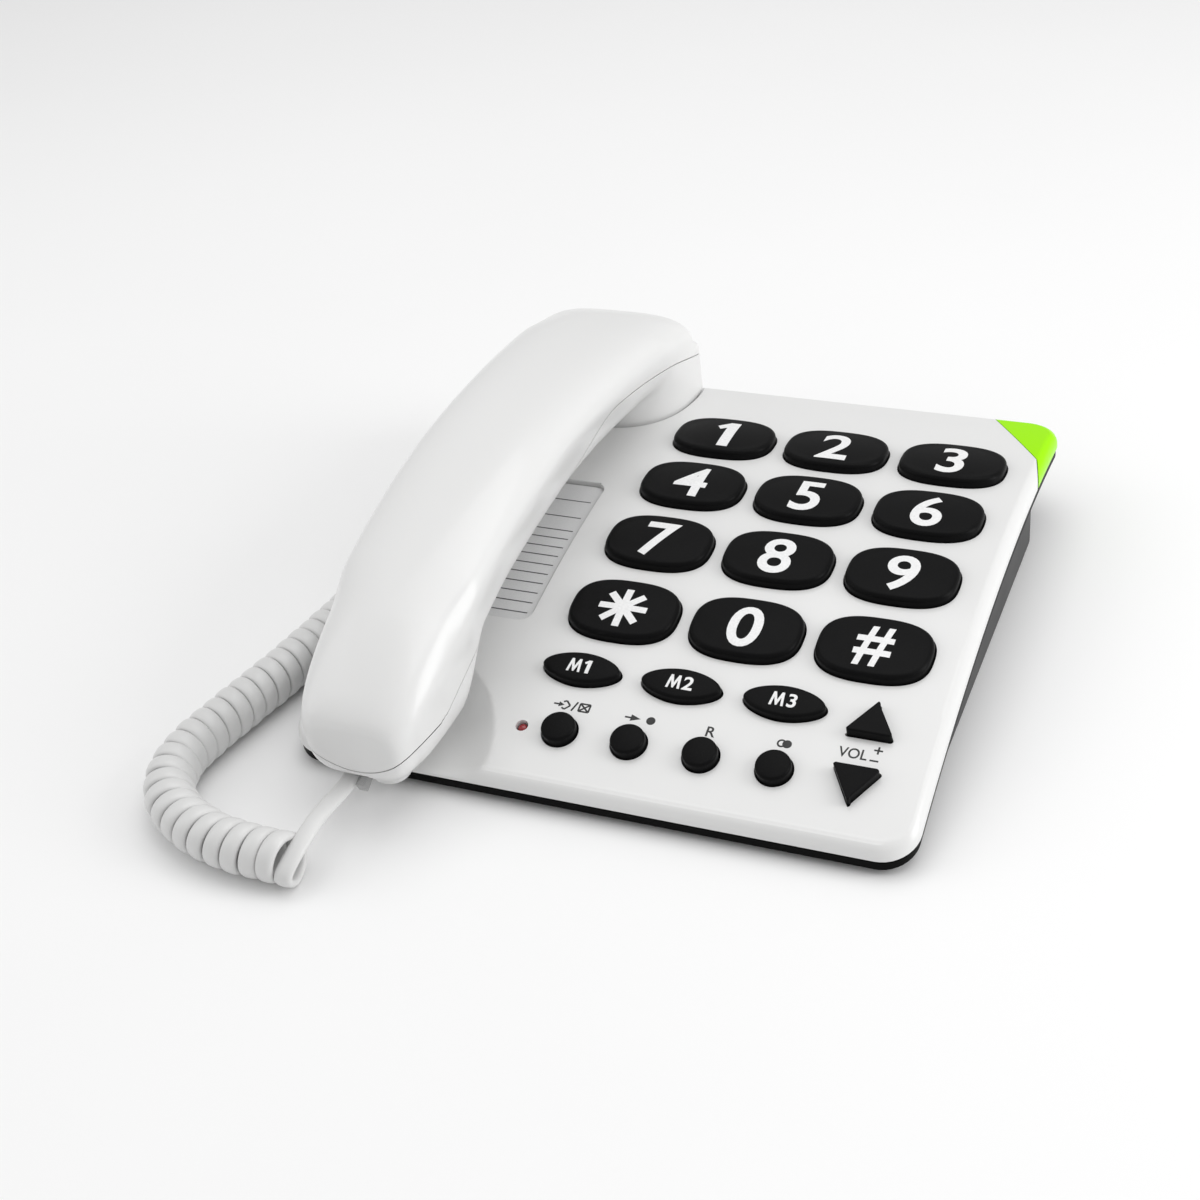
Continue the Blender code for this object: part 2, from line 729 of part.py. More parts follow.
def lower_casing_sections():
    """From the inner floor, up the inside, over the rim and down the outside to the bottom."""
    rim_top = LIP_DROP + GAP
    floor = [(half, y, FLOOR_TOP) for half, y in body_outline(WALL + 1.0)]
    inner_low = [(half, y, FLOOR_TOP + 0.3) for half, y in body_outline(WALL)]
    shelf_drop = rim_top + 1.9

    def shelf(inset, drop, low_limit):
        pairs = zip(body_outline(inset), RIDGE)
        return [(half, y, max(arc_z(min(y, ridge[1])) - drop, low_limit)) for (half, y), ridge in pairs]

    rim_section = base_section(0.5, rim_top + RIM_HEIGHT)
    rim_bottom = [(h, y, max(z, FLOOR_BOTTOM + 0.15)) for h, y, z in rim_section]
    body_top = shelf(0.0, rim_top + RIM_HEIGHT, FLOOR_BOTTOM + 0.1)
    body_section = shelf(0.0, rim_top + RIM_HEIGHT, 1.45)
    body_low = [(half, y, min(z, FLOOR_BOTTOM + 1.2)) for half, y, z in body_section]
    bottom = [(half, y, FLOOR_BOTTOM) for half, y in body_outline(1.2)]
    return [
        floor,
        inner_low,
        shelf(WALL, shelf_drop, FLOOR_TOP + 0.4),
        base_section(WALL + 0.5, shelf_drop),
        base_section(WALL + 0.4, rim_top),
        base_section(0.4, rim_top),
        rim_bottom,
        body_top,
        [(h, y, z - 0.04) for h, y, z in body_low],
        bottom,
    ]


def add_lower_casing():
    shape = ladder("lower_casing", lower_casing_sections(), BASE_MIDDLE)
    casing = solid("lower_casing", shape, "black_casing")
    for name, (x, y) in FOOT_PLACES.items():
        recess = cone_mesh(f"{name}_recess", FOOT_RADIUS + 0.5, FOOT_RADIUS + 0.5, 0, 2.3, 14)
        combine(casing, "DIFFERENCE", helper(f"{name}_recess", recess, Matrix.Translation((x, y, 0))))
    for name, (x, y) in SCREW_PLACES.items():
        sink = cone_mesh(f"{name}_sink", 3.3, 1.9, FLOOR_BOTTOM - 0.05, FLOOR_BOTTOM + 1.4, 10)
        through = cone_mesh(f"{name}_through", 1.9, 1.9, 0, 8, 10)
        matrix = Matrix.Translation((x, y, 0))
        combine(casing, "DIFFERENCE", helper(f"{name}_sink", sink, matrix))
        combine(casing, "DIFFERENCE", helper(f"{name}_through", through, matrix))
    line_hole = box_mesh("line_jack_hole", (14.6, 8, 12.6), (20.0, BODY_REAR, 11.0))
    cord_hole = box_mesh("cord_jack_hole", (9, 12.6, 10.6), (BASE_LEFT + BODY_INSET, 6.0, 9.6))
    knob_slot = box_mesh("ringer_slot", (12.4, 8, 3.4), (-60.0, BODY_REAR, 12.0))
    holes = {"line_jack_hole": line_hole, "cord_jack_hole": cord_hole, "ringer_slot": knob_slot}
    for name, mesh in holes.items():
        combine(casing, "DIFFERENCE", helper(name, mesh))
    return applied(casing)


def add_card_and_window():
    for name, gap, drops, material in (
        ("card_window", 0.2, (0.95, 0.05), "clear"),
        ("index_card", 0.8, (1.45, 1.15), "paper"),
    ):
        x_range = (WINDOW_X[0] + gap, WINDOW_X[1] - gap)
        y_range = (WINDOW_Y[0] + gap, WINDOW_Y[1] - gap)
        mesh = panel_prism_mesh(name, x_range, y_range, WINDOW_CORNER - gap, drops)
        solid(name, mesh, material)


def sloped_plate(name, x_range, y_range, lift, thick, material):
    """A flat plate on the board's plane, its lower face this far above the board's upper face."""
    middle_y = (y_range[0] + y_range[1]) / 2
    length = (y_range[1] - y_range[0]) / math.cos(BOARD_SLOPE)
    size = (x_range[1] - x_range[0], length, thick)
    matrix = Matrix.Translation(((x_range[0] + x_range[1]) / 2, middle_y, board_z(middle_y)))
    matrix = matrix @ Matrix.Rotation(BOARD_SLOPE, 4, "X")
    return solid(name, box_mesh(name, size, (0, 0, lift + thick / 2)), material, matrix)


def add_inside():
    board_x = (BOARD_LEFT, BOARD_RIGHT)
    board_y = (BOARD_FRONT, BOARD_REAR)
    board = sloped_plate("circuit_board", board_x, board_y, -BOARD_THICK, BOARD_THICK, "board")
    mat_x = (BOARD_LEFT + 1, BOARD_RIGHT - 1)
    mat = sloped_plate("key_mat", mat_x, (BOARD_FRONT + 1, BOARD_REAR - 1), GAP, MAT_THICK - GAP, "silicone")
    for name, (x, y) in SCREW_PLACES.items():
        if x > 0:
            notch = cone_mesh(f"{name}_notch", 4.2, 4.2, 0, 40, 10)
            notch_obj = helper(f"{name}_notch", notch, Matrix.Translation((x, y, 0)))
            combine(board, "DIFFERENCE", notch_obj)
            combine(mat, "DIFFERENCE", notch_obj)
    low = FLOOR_TOP + GAP
    ballast_mesh = box_mesh("ballast_plate", (36, 46, 3.0), (-84, -36, low + 1.5))
    solid("ballast_plate", ballast_mesh, "steel")
    ringer = [(0, low + 7), (5, low + 7), (14, low + 4), (14, low), (0, low)]
    turned("ringer_speaker", ringer, 16, "dark", Matrix.Translation((-84, 14, 0)))
    switch_mesh = box_mesh("hook_switch", (12, 8, 7.2), (0, 0, -17.1))
    solid("hook_switch", switch_mesh, "dark", hook_matrix())
    line_jack = socket_mesh("line_jack", (13.6, 11.6), 14.0, (10.4, 8.4), 9.0)
    solid("line_jack", line_jack, "dark", line_jack_matrix())
    cord_jack = socket_mesh("handset_cord_jack", (11.6, 9.6), 11.5, (8.4, 7.2), 9.9)
    solid("handset_cord_jack", cord_jack, "dark", cord_jack_matrix())


def line_jack_matrix():
    return Matrix.Translation((20.0, BODY_REAR, 11.0))


def cord_jack_matrix():
    """The jack in the left wall, its open face level with the wall's outside."""
    return Matrix.Translation((BASE_LEFT + BODY_INSET, 6.0, 9.6)) @ Matrix.Rotation(math.pi / 2, 4, "Z")


def socket_mesh(name, outer, depth, inner, inner_depth):
    """A socket body behind Y = 0, its open face towards local +Y; outer and inner are (X, Z) sizes."""
    bm = bmesh.new()
    bmesh.ops.create_cube(bm, size=1.0)
    bmesh.ops.scale(bm, vec=(outer[0], depth, outer[1]), verts=bm.verts)
    bmesh.ops.translate(bm, vec=(0, -depth / 2, 0), verts=bm.verts)
    front = max(bm.faces, key=lambda face: face.calc_center_median().y)
    bmesh.ops.inset_region(bm, faces=[front], thickness=0.5)
    shrink = (inner[0] / (outer[0] - 1.0), 1.0, inner[1] / (outer[1] - 1.0))
    bmesh.ops.scale(bm, vec=shrink, verts=front.verts)
    pushed = bmesh.ops.extrude_discrete_faces(bm, faces=[front])["faces"]
    bmesh.ops.translate(bm, vec=(0, -inner_depth, 0), verts=pushed[0].verts)
    return mesh_from(bm, name)


def hook_matrix():
    """The hook plunger's frame: on the ear dish's floor, with Z up."""
    y = 54.0
    along = (y - HANDSET_ORIGIN[1]) / math.cos(HANDSET_PITCH)
    z = HANDSET_ORIGIN[2] + along * math.sin(HANDSET_PITCH) + EAR_DISH["floor"]
    return Matrix.Translation((HANDSET_ORIGIN[0], y, z))


def add_hook_plunger():
    """Plunger under the earpiece: pressed down at rest, and 4 mm higher with the handset off."""
    cap = oval(6.8, 4.3, 3.0, 12)
    stem = oval(2.4, 2.0, 3.0, 12)
    top = -GAP - 0.2
    rings = [
        [(x, y, -13.0) for x, y in stem],
        [(x, y, -7.5) for x, y in stem],
        [(x, y, -7.0) for x, y in cap],
        [(x, y, top - 1.0) for x, y in cap],
        [(x * 0.8, y * 0.75, top) for x, y in cap],
    ]
    solid("hook_plunger", loft("hook_plunger", rings), "white", hook_matrix())


def add_ringer_switch():
    """Three-position slider in the rear wall, for the ringer's volume."""
    mesh = box_mesh("ringer_switch", (4.0, 5.0, 2.8))
    solid("ringer_switch", mesh, "white", Matrix.Translation((-60.0, BODY_REAR - 0.6, 12.0)))


def add_led():
    profile = [(0, -0.5), (0.9, -0.8), (1.45, -1.6), (1.45, -5.0), (0, -5.0)]
    turned("status_led", profile, 10, "red", panel_matrix(*LED_PLACE))


def add_feet():
    for name, (x, y) in FOOT_PLACES.items():
        profile = [(0, 2.0), (FOOT_RADIUS, 2.0), (FOOT_RADIUS, 0.4), (FOOT_RADIUS - 0.6, 0), (0, 0)]
        turned(name, profile, 14, "rubber", Matrix.Translation((x, y, 0)))


def screw_profile(length):
    """Countersunk screw, head down, from the head's face at Z = 0."""
    return [(0, length), (0.6, length), (1.35, length - 1.2), (1.35, 1.3), (2.7, 0), (0, 0)]


def add_casing_screws():
    for name, (x, y) in SCREW_PLACES.items():
        matrix = Matrix.Translation((x, y, FLOOR_BOTTOM + 0.15))
        turned(name, screw_profile(8.5), 10, "steel", matrix)


# ---------------------------------------------------------------- handset


def handset_screw_frame(along):
    """A handset screw's frame: in the underside of the grip, pointing up into the back shell."""
    bottom = crown(along / HANDSET_HALF) - GRIP_THICKNESS
    return handset_matrix() @ Matrix.Translation((0, along, bottom))


def handset_post(name, low, high, frame):
    return helper(name, cone_mesh(name, 4.3, 4.3, low, high, 10), frame)


def add_handset_shells():
    frame = handset_matrix()
    inner = helper("handset_inside", handset_body_mesh("handset_inside", SHELL, 13, 12), frame)
    back = solid("handset_back_shell", handset_body_mesh("handset_back_shell", 0.0), "white", frame)
    front = solid("handset_front_shell", handset_body_mesh("handset_front_shell", 0.0), "white", frame)
    for name, cup in (("ear_cup", EAR_CUP), ("mouth_pod", MOUTH_POD)):
        combine(front, "UNION", helper(name, cup_mesh(name, cup, 0.0), frame))
    combine(front, "INTERSECT", helper("below_seam", below_seam_mesh("below_seam", -GAP / 2), frame))
    for name, cup in (("ear_cup_inside", EAR_CUP), ("mouth_pod_inside", MOUTH_POD)):
        combine(front, "DIFFERENCE", helper(name, cup_mesh(name, cup, SHELL, 12), frame))
    combine(front, "DIFFERENCE", inner)
    above = helper("above_seam", below_seam_mesh("above_seam", GAP / 2), frame)
    combine(back, "DIFFERENCE", above, inner)
    for name, along in HANDSET_SCREW_PLACES.items():
        screw_frame = handset_screw_frame(along)
        seam = seam_height(along) - crown(along / HANDSET_HALF) + GRIP_THICKNESS
        combine(front, "UNION", handset_post(f"{name}_lower_post", 0.6, seam - 0.6, screw_frame))
        upper_post = handset_post(f"{name}_upper_post", seam + 0.6, GRIP_THICKNESS - 1.4, screw_frame)
        combine(back, "UNION", upper_post)
        bore = helper(f"{name}_bore", cone_mesh(f"{name}_bore", 1.75, 1.75, -3, 20.5, 8), screw_frame)
        head = helper(f"{name}_head", cone_mesh(f"{name}_head", 3.2, 3.2, -3, 3.2, 10), screw_frame)
        combine(front, "DIFFERENCE", bore, head)
        combine(back, "DIFFERENCE", bore)
    for name, size, centre in (
        ("jack_room", (12.2, 12.4, 10.4), (0, 2.9, 0)),
        ("plug_notch", (12.4, 18.0, 7.8), (0.6, -11.4, 0)),
    ):
        room = helper(name, box_mesh(name, size, centre), plug_matrix())
        combine(front, "DIFFERENCE", room)
        combine(back, "DIFFERENCE", room)
    applied(back)
    applied(front)


def plug_matrix():
    return Matrix.Translation(PLUG_CENTRE) @ Matrix.Rotation(PLUG_TILT, 4, "X")


def add_plug(name, matrix):
    """A modular plug with its latch lever at one side; its cord leaves towards local -Y."""
    plug = solid(name, box_mesh(name, PLUG_SIZE), "clear", matrix)
    lever = box_mesh(f"{name}_lever", (2.6, 7.4, 3.2), (4.1, -6.9, 0))
    combine(plug, "UNION", helper(f"{name}_lever", lever, matrix))


def add_handset_inside():
    frame = handset_matrix()
    capsule = [(0, 9.5), (13.5, 9.5), (15.0, 7.5), (15.0, 3.2), (0, 3.2)]
    turned("receiver_capsule", capsule, 18, "dark", frame @ Matrix.Translation((0, 84.0, 0)))
    microphone = [(0, 2.5), (4.8, 2.5), (4.8, -3.2), (0, -3.2)]
    turned("microphone", microphone, 12, "steel", frame @ Matrix.Translation((0, -78.0, 6.8)))
    weight = box_mesh("handset_weight", (20, 56, 6), (0, 3, CROWN_MIDDLE - GRIP_THICKNESS / 2 + 1.0))
    solid("handset_weight", weight, "steel", frame)
    jack = socket_mesh("handset_jack", (11.2, 9.6), 11.5, (8.4, 7.2), 9.9)
    jack_matrix = plug_matrix() @ Matrix.Translation((0, -3.0, 0)) @ Matrix.Rotation(math.pi, 4, "Z")
    solid("handset_jack", jack, "dark", jack_matrix)
    add_plug("handset_plug", plug_matrix())
    for name, along in HANDSET_SCREW_PLACES.items():
        frame_here = handset_screw_frame(along) @ Matrix.Translation((0, 0, 1.4))
        profile = [(0, 18.0), (1.35, 18.0), (1.35, 1.6), (2.7, 1.6), (2.7, 0), (0, 0)]
        turned(name, profile, 10, "steel", frame_here)


# ---------------------------------------------------------------- cord


def add_cord():
    """The coiled cord as one plain tube, with a thin lead at each end."""
    level = COIL_RADIUS + 0.1
    base_start = base_plug_matrix() @ Vector((0, -PLUG_SIZE[1] / 2 - GAP, 0))
    base_bend = base_plug_matrix() @ Vector((0, -PLUG_SIZE[1] / 2 - 4.0, 0))
    handset_bend = plug_matrix() @ Vector((0, -PLUG_SIZE[1] / 2 - 4.0, 0))
    handset_end = plug_matrix() @ Vector((0, -PLUG_SIZE[1] / 2 - GAP, 0))
    points = [(*base_start, LEAD_RADIUS), (*base_bend, LEAD_RADIUS)]
    points.append((-131.5, -7.0, level, LEAD_RADIUS))
    points.extend((x, y, level, COIL_RADIUS) for x, y in COIL_PATH)
    points.append((-87.0, -148.0, level, LEAD_RADIUS))
    points.append((-86.6, -141.0, level, LEAD_RADIUS))
    points.append((-87.6, -131.0, level + 3.5, LEAD_RADIUS))
    points.append((*handset_bend, LEAD_RADIUS))
    points.append((*handset_end, LEAD_RADIUS))
    curve = bpy.data.curves.new("coil_cord", "CURVE")
    curve.dimensions = "3D"
    curve.bevel_depth = MM
    curve.bevel_resolution = 2
    curve.use_fill_caps = True
    curve.render_resolution_u = 0
    spline = curve.splines.new("POLY")
    spline.points.add(len(points) - 1)
    for target, (x, y, z, radius) in zip(spline.points, points):
        target.co = (x * MM, y * MM, z * MM, 1.0)
        target.radius = radius
    curve.materials.append(MATERIALS["white"])
    cord = bpy.data.objects.new("coil_cord", curve)
    PHONE.objects.link(cord)
    place(cord, Matrix.Identity(4))


def base_plug_matrix():
    turn = Matrix.Rotation(-math.pi / 2, 4, "Z") @ Matrix.Rotation(math.pi, 4, "Y")
    return Matrix.Translation(BASE_PLUG_CENTRE) @ turn


def main():
    wells = add_keys()
    add_upper_casing(wells)
    add_corner_cap()
    add_lower_casing()
    add_card_and_window()
    add_inside()
    add_hook_plunger()
    add_ringer_switch()
    add_led()
    add_feet()
    add_casing_screws()
    add_handset_shells()
    add_handset_inside()
    add_cord()
    add_plug("base_plug", base_plug_matrix())


main()
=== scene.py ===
"""Looks of the corded desk telephone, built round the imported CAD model.

Lengths are millimetres in the CAD's design frame: X to the user's right, Y away from the user and
Z up from the desk, with X = Y = 0 under the middle of the dial keys. design_origin() finds that
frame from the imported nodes, and every mesh is moved into the row frame once, when it is finished.
"""

import math

import bmesh
import bpy
import numpy as np
from mathutils import Matrix, Vector


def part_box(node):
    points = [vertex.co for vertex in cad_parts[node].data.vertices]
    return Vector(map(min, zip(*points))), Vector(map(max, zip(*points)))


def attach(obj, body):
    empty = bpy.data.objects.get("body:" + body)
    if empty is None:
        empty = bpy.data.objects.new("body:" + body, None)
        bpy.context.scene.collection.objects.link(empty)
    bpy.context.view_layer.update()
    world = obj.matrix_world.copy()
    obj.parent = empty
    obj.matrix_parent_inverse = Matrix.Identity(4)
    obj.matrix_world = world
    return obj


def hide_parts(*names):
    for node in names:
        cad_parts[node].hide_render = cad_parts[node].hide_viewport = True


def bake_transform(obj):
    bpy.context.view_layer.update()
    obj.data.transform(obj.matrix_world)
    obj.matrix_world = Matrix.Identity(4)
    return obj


MM = 0.001
GAP = 0.3

# Top panel: part of a cylinder whose axis runs along X
ARC_RADIUS, ARC_Y, ARC_Z = 376.9, 26.3, -344.5
WALL = 2.2

# Base, in plan and edge
BASE_LEFT, BASE_RIGHT = -119.8, 62.9
BASE_FRONT, BASE_REAR = -104.6, 87.0
BASE_CORNER = 10.0
BASE_MIDDLE = (BASE_LEFT + BASE_RIGHT) / 2
SIDE_STEPS, CORNER_STEPS, COLUMNS = 130, 10, 120
RIDGE_INSET, LIP_DROP, RIM_HEIGHT, BODY_INSET, BODY_REAR = 3.4, 5.4, 3.0, 3.3, 64.0
FLOOR_BOTTOM, FLOOR_TOP = 1.4, 3.6
CORNERS = ("front_left", "front_right", "rear_left", "rear_right")
FOOT_RADIUS, CASING_SCREW_LENGTH = 6.0, 8.5
LINE_JACK_X, LINE_JACK_Z = 20.0, 11.0
SWITCH_X, SWITCH_Z = -60.0, 12.0

# Keys
DIAL_LABELS = ["1", "2", "3", "4", "5", "6", "7", "8", "9", "star", "0", "hash"]
KEY_PITCH_X, KEY_PITCH_S = 37.0, 30.04
DIAL_HALF, DIAL_POWER = (16.2, 11.2), 2.75
MEMORY_HALF, MEMORY_POWER = (11.6, 5.2), 1.85
MEMORY_X, MEMORY_S = (-41.4, -11.6, 18.2), -68.6
FUNCTION_RADIUS, FUNCTION_X, FUNCTION_S = 4.9, (-40.6, -20.1, 0.7, 21.3), -89.5
VOLUME_HALF, VOLUME_CORNER = 6.2, 0.8
VOLUME_PLACES = {"volume_up_key": (43.2, -69.4, 1), "volume_down_key": (42.9, -90.6, -1)}
KEY_HEIGHT, SMALL_KEY_HEIGHT, WELL_GAP = 2.9, 2.6, 0.5
LABEL_CENTRE, LABEL_HEIGHT = (0.1, -0.7), 15.3
MEMORY_LABEL_HEIGHT, MEMORY_LABEL_Y = 4.6, -0.1
INK_WIDTH = 0.52
LED_PLACE = (-52.0, -89.8)
WINDOW_X, WINDOW_Y, WINDOW_CORNER = (-106.0, -64.1), (-53.2, 11.4), 4.0
CAP_PLAN = [(36.5, 92.0), (60.2, 57.4), (63.2, 45.8), (85.0, 45.8), (85.0, 105.0), (27.0, 105.0)]
CAP_GAP = 0.2

# Handset, in its own frame: X across, Y towards the earpiece, Z away from the cradle
HANDSET_ORIGIN, HANDSET_PITCH, HANDSET_HALF = (-85.0, -18.6, 19.3), math.radians(4.5), 104.5
CROWN_MIDDLE, CROWN_REAR, CROWN_FRONT = 49.3, (30.0, 1.69), (28.8, 2.29)
GRIP_HALF_WIDTH, EAR_HALF_WIDTH, MOUTH_HALF_WIDTH, GRIP_THICKNESS = 24.0, 29.4, 20.0, 24.5
SIDE_TAPER_REAR, SIDE_TAPER_FRONT, SECTION_POWER = 0.21, 0.12, 3.2
PLAN_POWER_REAR, PLAN_POWER_FRONT = 14.0, 7.4
END_POWER_REAR, END_POWER_FRONT = 12.0, 6.1
CUP_START_REAR, CUP_START_FRONT, CUP_BLEND = 0.80, 0.62, 0.16
SEAM_DEPTH, SEAM_DEPTH_GAIN = 10.0, 6.0
SEAM_GRIP_DROP, SEAM_GRIP_START = 8.5, 40.0
SEAM_NOSE_HEIGHT, SEAM_NOSE_SLOPE, SEAM_NOSE_CURVE, SEAM_NOSE_WIDE = 7.5, -0.2, 0.0285, 22.0
SHELL = 2.2
EAR_CUP = {
    "centre": (0.0, 96.0), "half": (26.9, 30.8), "power": 2.6,
    "bottom": 0.0, "top": 19.0, "rear": 103.6,
}
MOUTH_POD = {
    "centre": (0.0, -88.0), "half": (9.5, 9.5), "power": 2.6,
    "bottom": -2.8, "top": 18.0, "rear": 0.0,
}
REST_RADIUS, REST_Y, MICROPHONE_Y = 5.5, -88.0, -75.5
EAR_DISH = {"centre": (0.0, 96.0), "half": (27.7, 31.7), "power": 2.6, "floor": -GAP}
MOUTH_DISH = {
    "centre": (-1.0, -93.7), "rim": (35.5, 41.0), "power": 1.8,
    "floor": -6.3, "wall": 17.0, "left": -112.0,
}
DISH_TOP, DISH_WALL, DISH_RISE, DISH_EDGE = 30.0, 1.6, 9.3, 2.0
HOOK_Y = 54.0
HANDSET_SCREWS, HANDSET_SCREW_LENGTH = (("upper", 46.0), ("lower", -40.0)), 18.0
VOICE_SLOTS_X = (-3.0, 0.0, 3.0)
SOUND_HOLE_RINGS, SOUND_HOLES_Y = ((0.0, 1), (4.2, 6), (8.4, 12)), 84.0

# Cord
COIL_RADIUS = 7.3
COIL_PATH = [
    (-131.5, -18.0), (-132.0, -32.0), (-133.1, -46.0), (-135.4, -61.5),
    (-137.8, -76.0), (-140.6, -89.0), (-143.3, -102.0), (-145.2, -113.0),
    (-145.2, -122.0), (-142.4, -131.0), (-136.6, -138.0), (-128.5, -143.2),
    (-118.6, -146.8), (-108.8, -148.3), (-99.6, -148.6), (-90.5, -148.8),
]
COIL_PITCH = 5.45
CORD_HALF_THICK, CORD_HALF_WIDE = 1.3, 2.6
PLUG_CENTRE, PLUG_TILT = (-88.8, -113.0, 17.2), math.radians(25.0)
PLUG_ROOMS = (((12.2, 12.4, 10.4), (0, 2.9, 0)), ((12.4, 18.0, 7.8), (0.6, -11.4, 0)))
CORD_JACK_Y, CORD_JACK_Z = 6.0, 9.6
BASE_PLUG_CENTRE = (BASE_LEFT + 6.3, CORD_JACK_Y, CORD_JACK_Z)
KNEE, KNEE_WAY = (-90.6, -140.5, 12.6), (0.03, 0.98, 0.16)

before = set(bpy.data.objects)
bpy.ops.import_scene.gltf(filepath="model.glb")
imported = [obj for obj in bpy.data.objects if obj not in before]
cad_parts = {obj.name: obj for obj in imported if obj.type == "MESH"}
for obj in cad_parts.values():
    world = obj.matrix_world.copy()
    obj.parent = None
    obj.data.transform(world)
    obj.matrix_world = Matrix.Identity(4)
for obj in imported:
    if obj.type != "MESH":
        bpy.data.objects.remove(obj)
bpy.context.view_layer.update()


def design_origin():
    """The design frame's origin in the row frame, in metres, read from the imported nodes."""
    key_low, key_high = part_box("key_0")
    casing_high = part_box("upper_casing")[1]
    return Vector(((key_low.x + key_high.x) / 2, casing_high.y - BASE_REAR * MM, 0.0))


ORIGIN = design_origin()


# ---------------------------------------------------------------- materials


class Nodes:
    """A material's node tree, with short calls for the few nodes used here."""

    def __init__(self, name):
        self.material = bpy.data.materials.new(name)
        self.material.use_nodes = True
        self.tree = self.material.node_tree
        self.shader = self.tree.nodes["Principled BSDF"]
        self.output = self.tree.nodes["Material Output"]
        self.place = self.tree.nodes.new("ShaderNodeTexCoord").outputs["Object"]

    def add(self, kind, inputs=None, **settings):
        node = self.tree.nodes.new(kind)
        for key, value in settings.items():
            setattr(node, key, value)
        for key, value in (inputs or {}).items():
            if isinstance(value, bpy.types.NodeSocket):
                self.tree.links.new(value, node.inputs[key])
            else:
                node.inputs[key].default_value = value
        return node

    def noise(self, scale, detail=2.0, roughness=0.5):
        inputs = {"Vector": self.place, "Scale": scale, "Detail": detail, "Roughness": roughness}
        return self.add("ShaderNodeTexNoise", inputs).outputs["Fac"]

    def spread(self, value, low, high, start=0.3, end=0.7):
        inputs = {"Value": value, "From Min": start, "From Max": end, "To Min": low, "To Max": high}
        return self.add("ShaderNodeMapRange", inputs).outputs["Result"]

    def maths(self, operation, first, second):
        node = self.add("ShaderNodeMath", {0: first, 1: second}, operation=operation)
        return node.outputs["Value"]

    def shade(self, factor, first, second):
        node = self.add("ShaderNodeMix", data_type="RGBA")
        self.tree.links.new(factor, node.inputs["Factor"])
        node.inputs["A"].default_value = (*first, 1.0)
        node.inputs["B"].default_value = (*second, 1.0)
        return node.outputs["Result"]

    def bump(self, height, strength, distance):
        inputs = {"Height": height, "Strength": strength, "Distance": distance}
        return self.add("ShaderNodeBump", inputs).outputs["Normal"]

    def set(self, key, value):
        if isinstance(value, bpy.types.NodeSocket):
            self.tree.links.new(value, self.shader.inputs[key])
        else:
            self.shader.inputs[key].default_value = value


def plastic(
    name, colour, variation=0.04, rough=(0.25, 0.33), grain=2500.0,
    depth=0.000012, shine=0.5, coat=0.0,
):
    """Moulded plastic: faint mottling, uneven sheen and fine mould grain."""
    made = Nodes(name)
    cloudy = made.noise(22.0, 3.0)
    darker = tuple(c * (1 - variation) for c in colour)
    made.set("Base Color", made.shade(made.spread(cloudy, 0.0, 1.0, 0.1, 0.9), colour, darker))
    made.set("Roughness", made.spread(made.noise(60.0, 4.0, 0.6), *rough, 0.1, 0.9))
    made.set("Specular IOR Level", shine)
    made.set("Normal", made.bump(made.noise(grain, 2.0), 0.25, depth))
    made.set("IOR", 1.49)
    made.set("Coat Weight", coat)
    made.set("Coat Roughness", 0.08)
    return made


def white_plastic():
    white, rough = (0.75, 0.75, 0.745), (0.27, 0.31)
    made = plastic("white_plastic", white, 0.012, rough, depth=0.000006, coat=0.2)
    made.set("Subsurface Weight", 0.06)
    made.set("Subsurface Radius", (0.003, 0.003, 0.0028))
    made.set("Subsurface Scale", 1.0)
    return made.material


def key_rubber():
    """Black key caps: satin, finely grained, with paler rubbed spots."""
    black, worn = (0.0035, 0.0035, 0.0037), (0.010, 0.010, 0.0105)
    made = plastic("key_rubber", black, 0.25, (0.34, 0.44), 3800.0, 0.00004, shine=0.07)
    speck = made.spread(made.noise(5200.0, 1.0), 0.0, 1.0, 0.62, 0.72)
    made.set("Base Color", made.shade(speck, black, worn))
    return made.material


def clear_plastic(name, tint, see_through):
    """A thin clear moulding: mostly see-through, with a sheen that grows at a low angle."""
    made = Nodes(name)
    made.set("Base Color", (*tint, 1.0))
    made.set("Roughness", made.spread(made.noise(300.0, 3.0), 0.03, 0.10))
    clear = made.add("ShaderNodeBsdfTransparent", {"Color": (0.985, 0.985, 0.985, 1.0)})
    facing = made.add("ShaderNodeFresnel", {"IOR": 1.49})
    share = made.spread(facing.outputs["Fac"], 1 - see_through, 1.0, 0.04, 1.0)
    inside = made.add("ShaderNodeNewGeometry").outputs["Backfacing"]
    share = made.maths("MULTIPLY", share, made.maths("SUBTRACT", 1.0, inside))
    mix = made.add("ShaderNodeMixShader")
    made.tree.links.new(share, mix.inputs["Fac"])
    made.tree.links.new(clear.outputs["BSDF"], mix.inputs[1])
    made.tree.links.new(made.shader.outputs["BSDF"], mix.inputs[2])
    made.tree.links.new(mix.outputs["Shader"], made.output.inputs["Surface"])
    return made.material


def metal(name, colour, rough):
    made = Nodes(name)
    made.set("Metallic", 1.0)
    brushed = made.noise(900.0, 4.0, 0.7)
    darker = tuple(c * 0.75 for c in colour)
    made.set("Base Color", made.shade(made.spread(brushed, 0.0, 1.0), colour, darker))
    made.set("Roughness", made.spread(made.noise(140.0, 3.0), *rough))
    made.set("Normal", made.bump(brushed, 0.3, 0.00002))
    return made.material


def paper():
    made = Nodes("card_paper")
    fibre = made.noise(1800.0, 6.0, 0.7)
    light, dark = (0.80, 0.80, 0.80), (0.74, 0.74, 0.745)
    made.set("Base Color", made.shade(made.spread(fibre, 0.0, 1.0), light, dark))
    made.set("Roughness", 0.85)
    made.set("Normal", made.bump(fibre, 0.4, 0.00003))
    return made.material


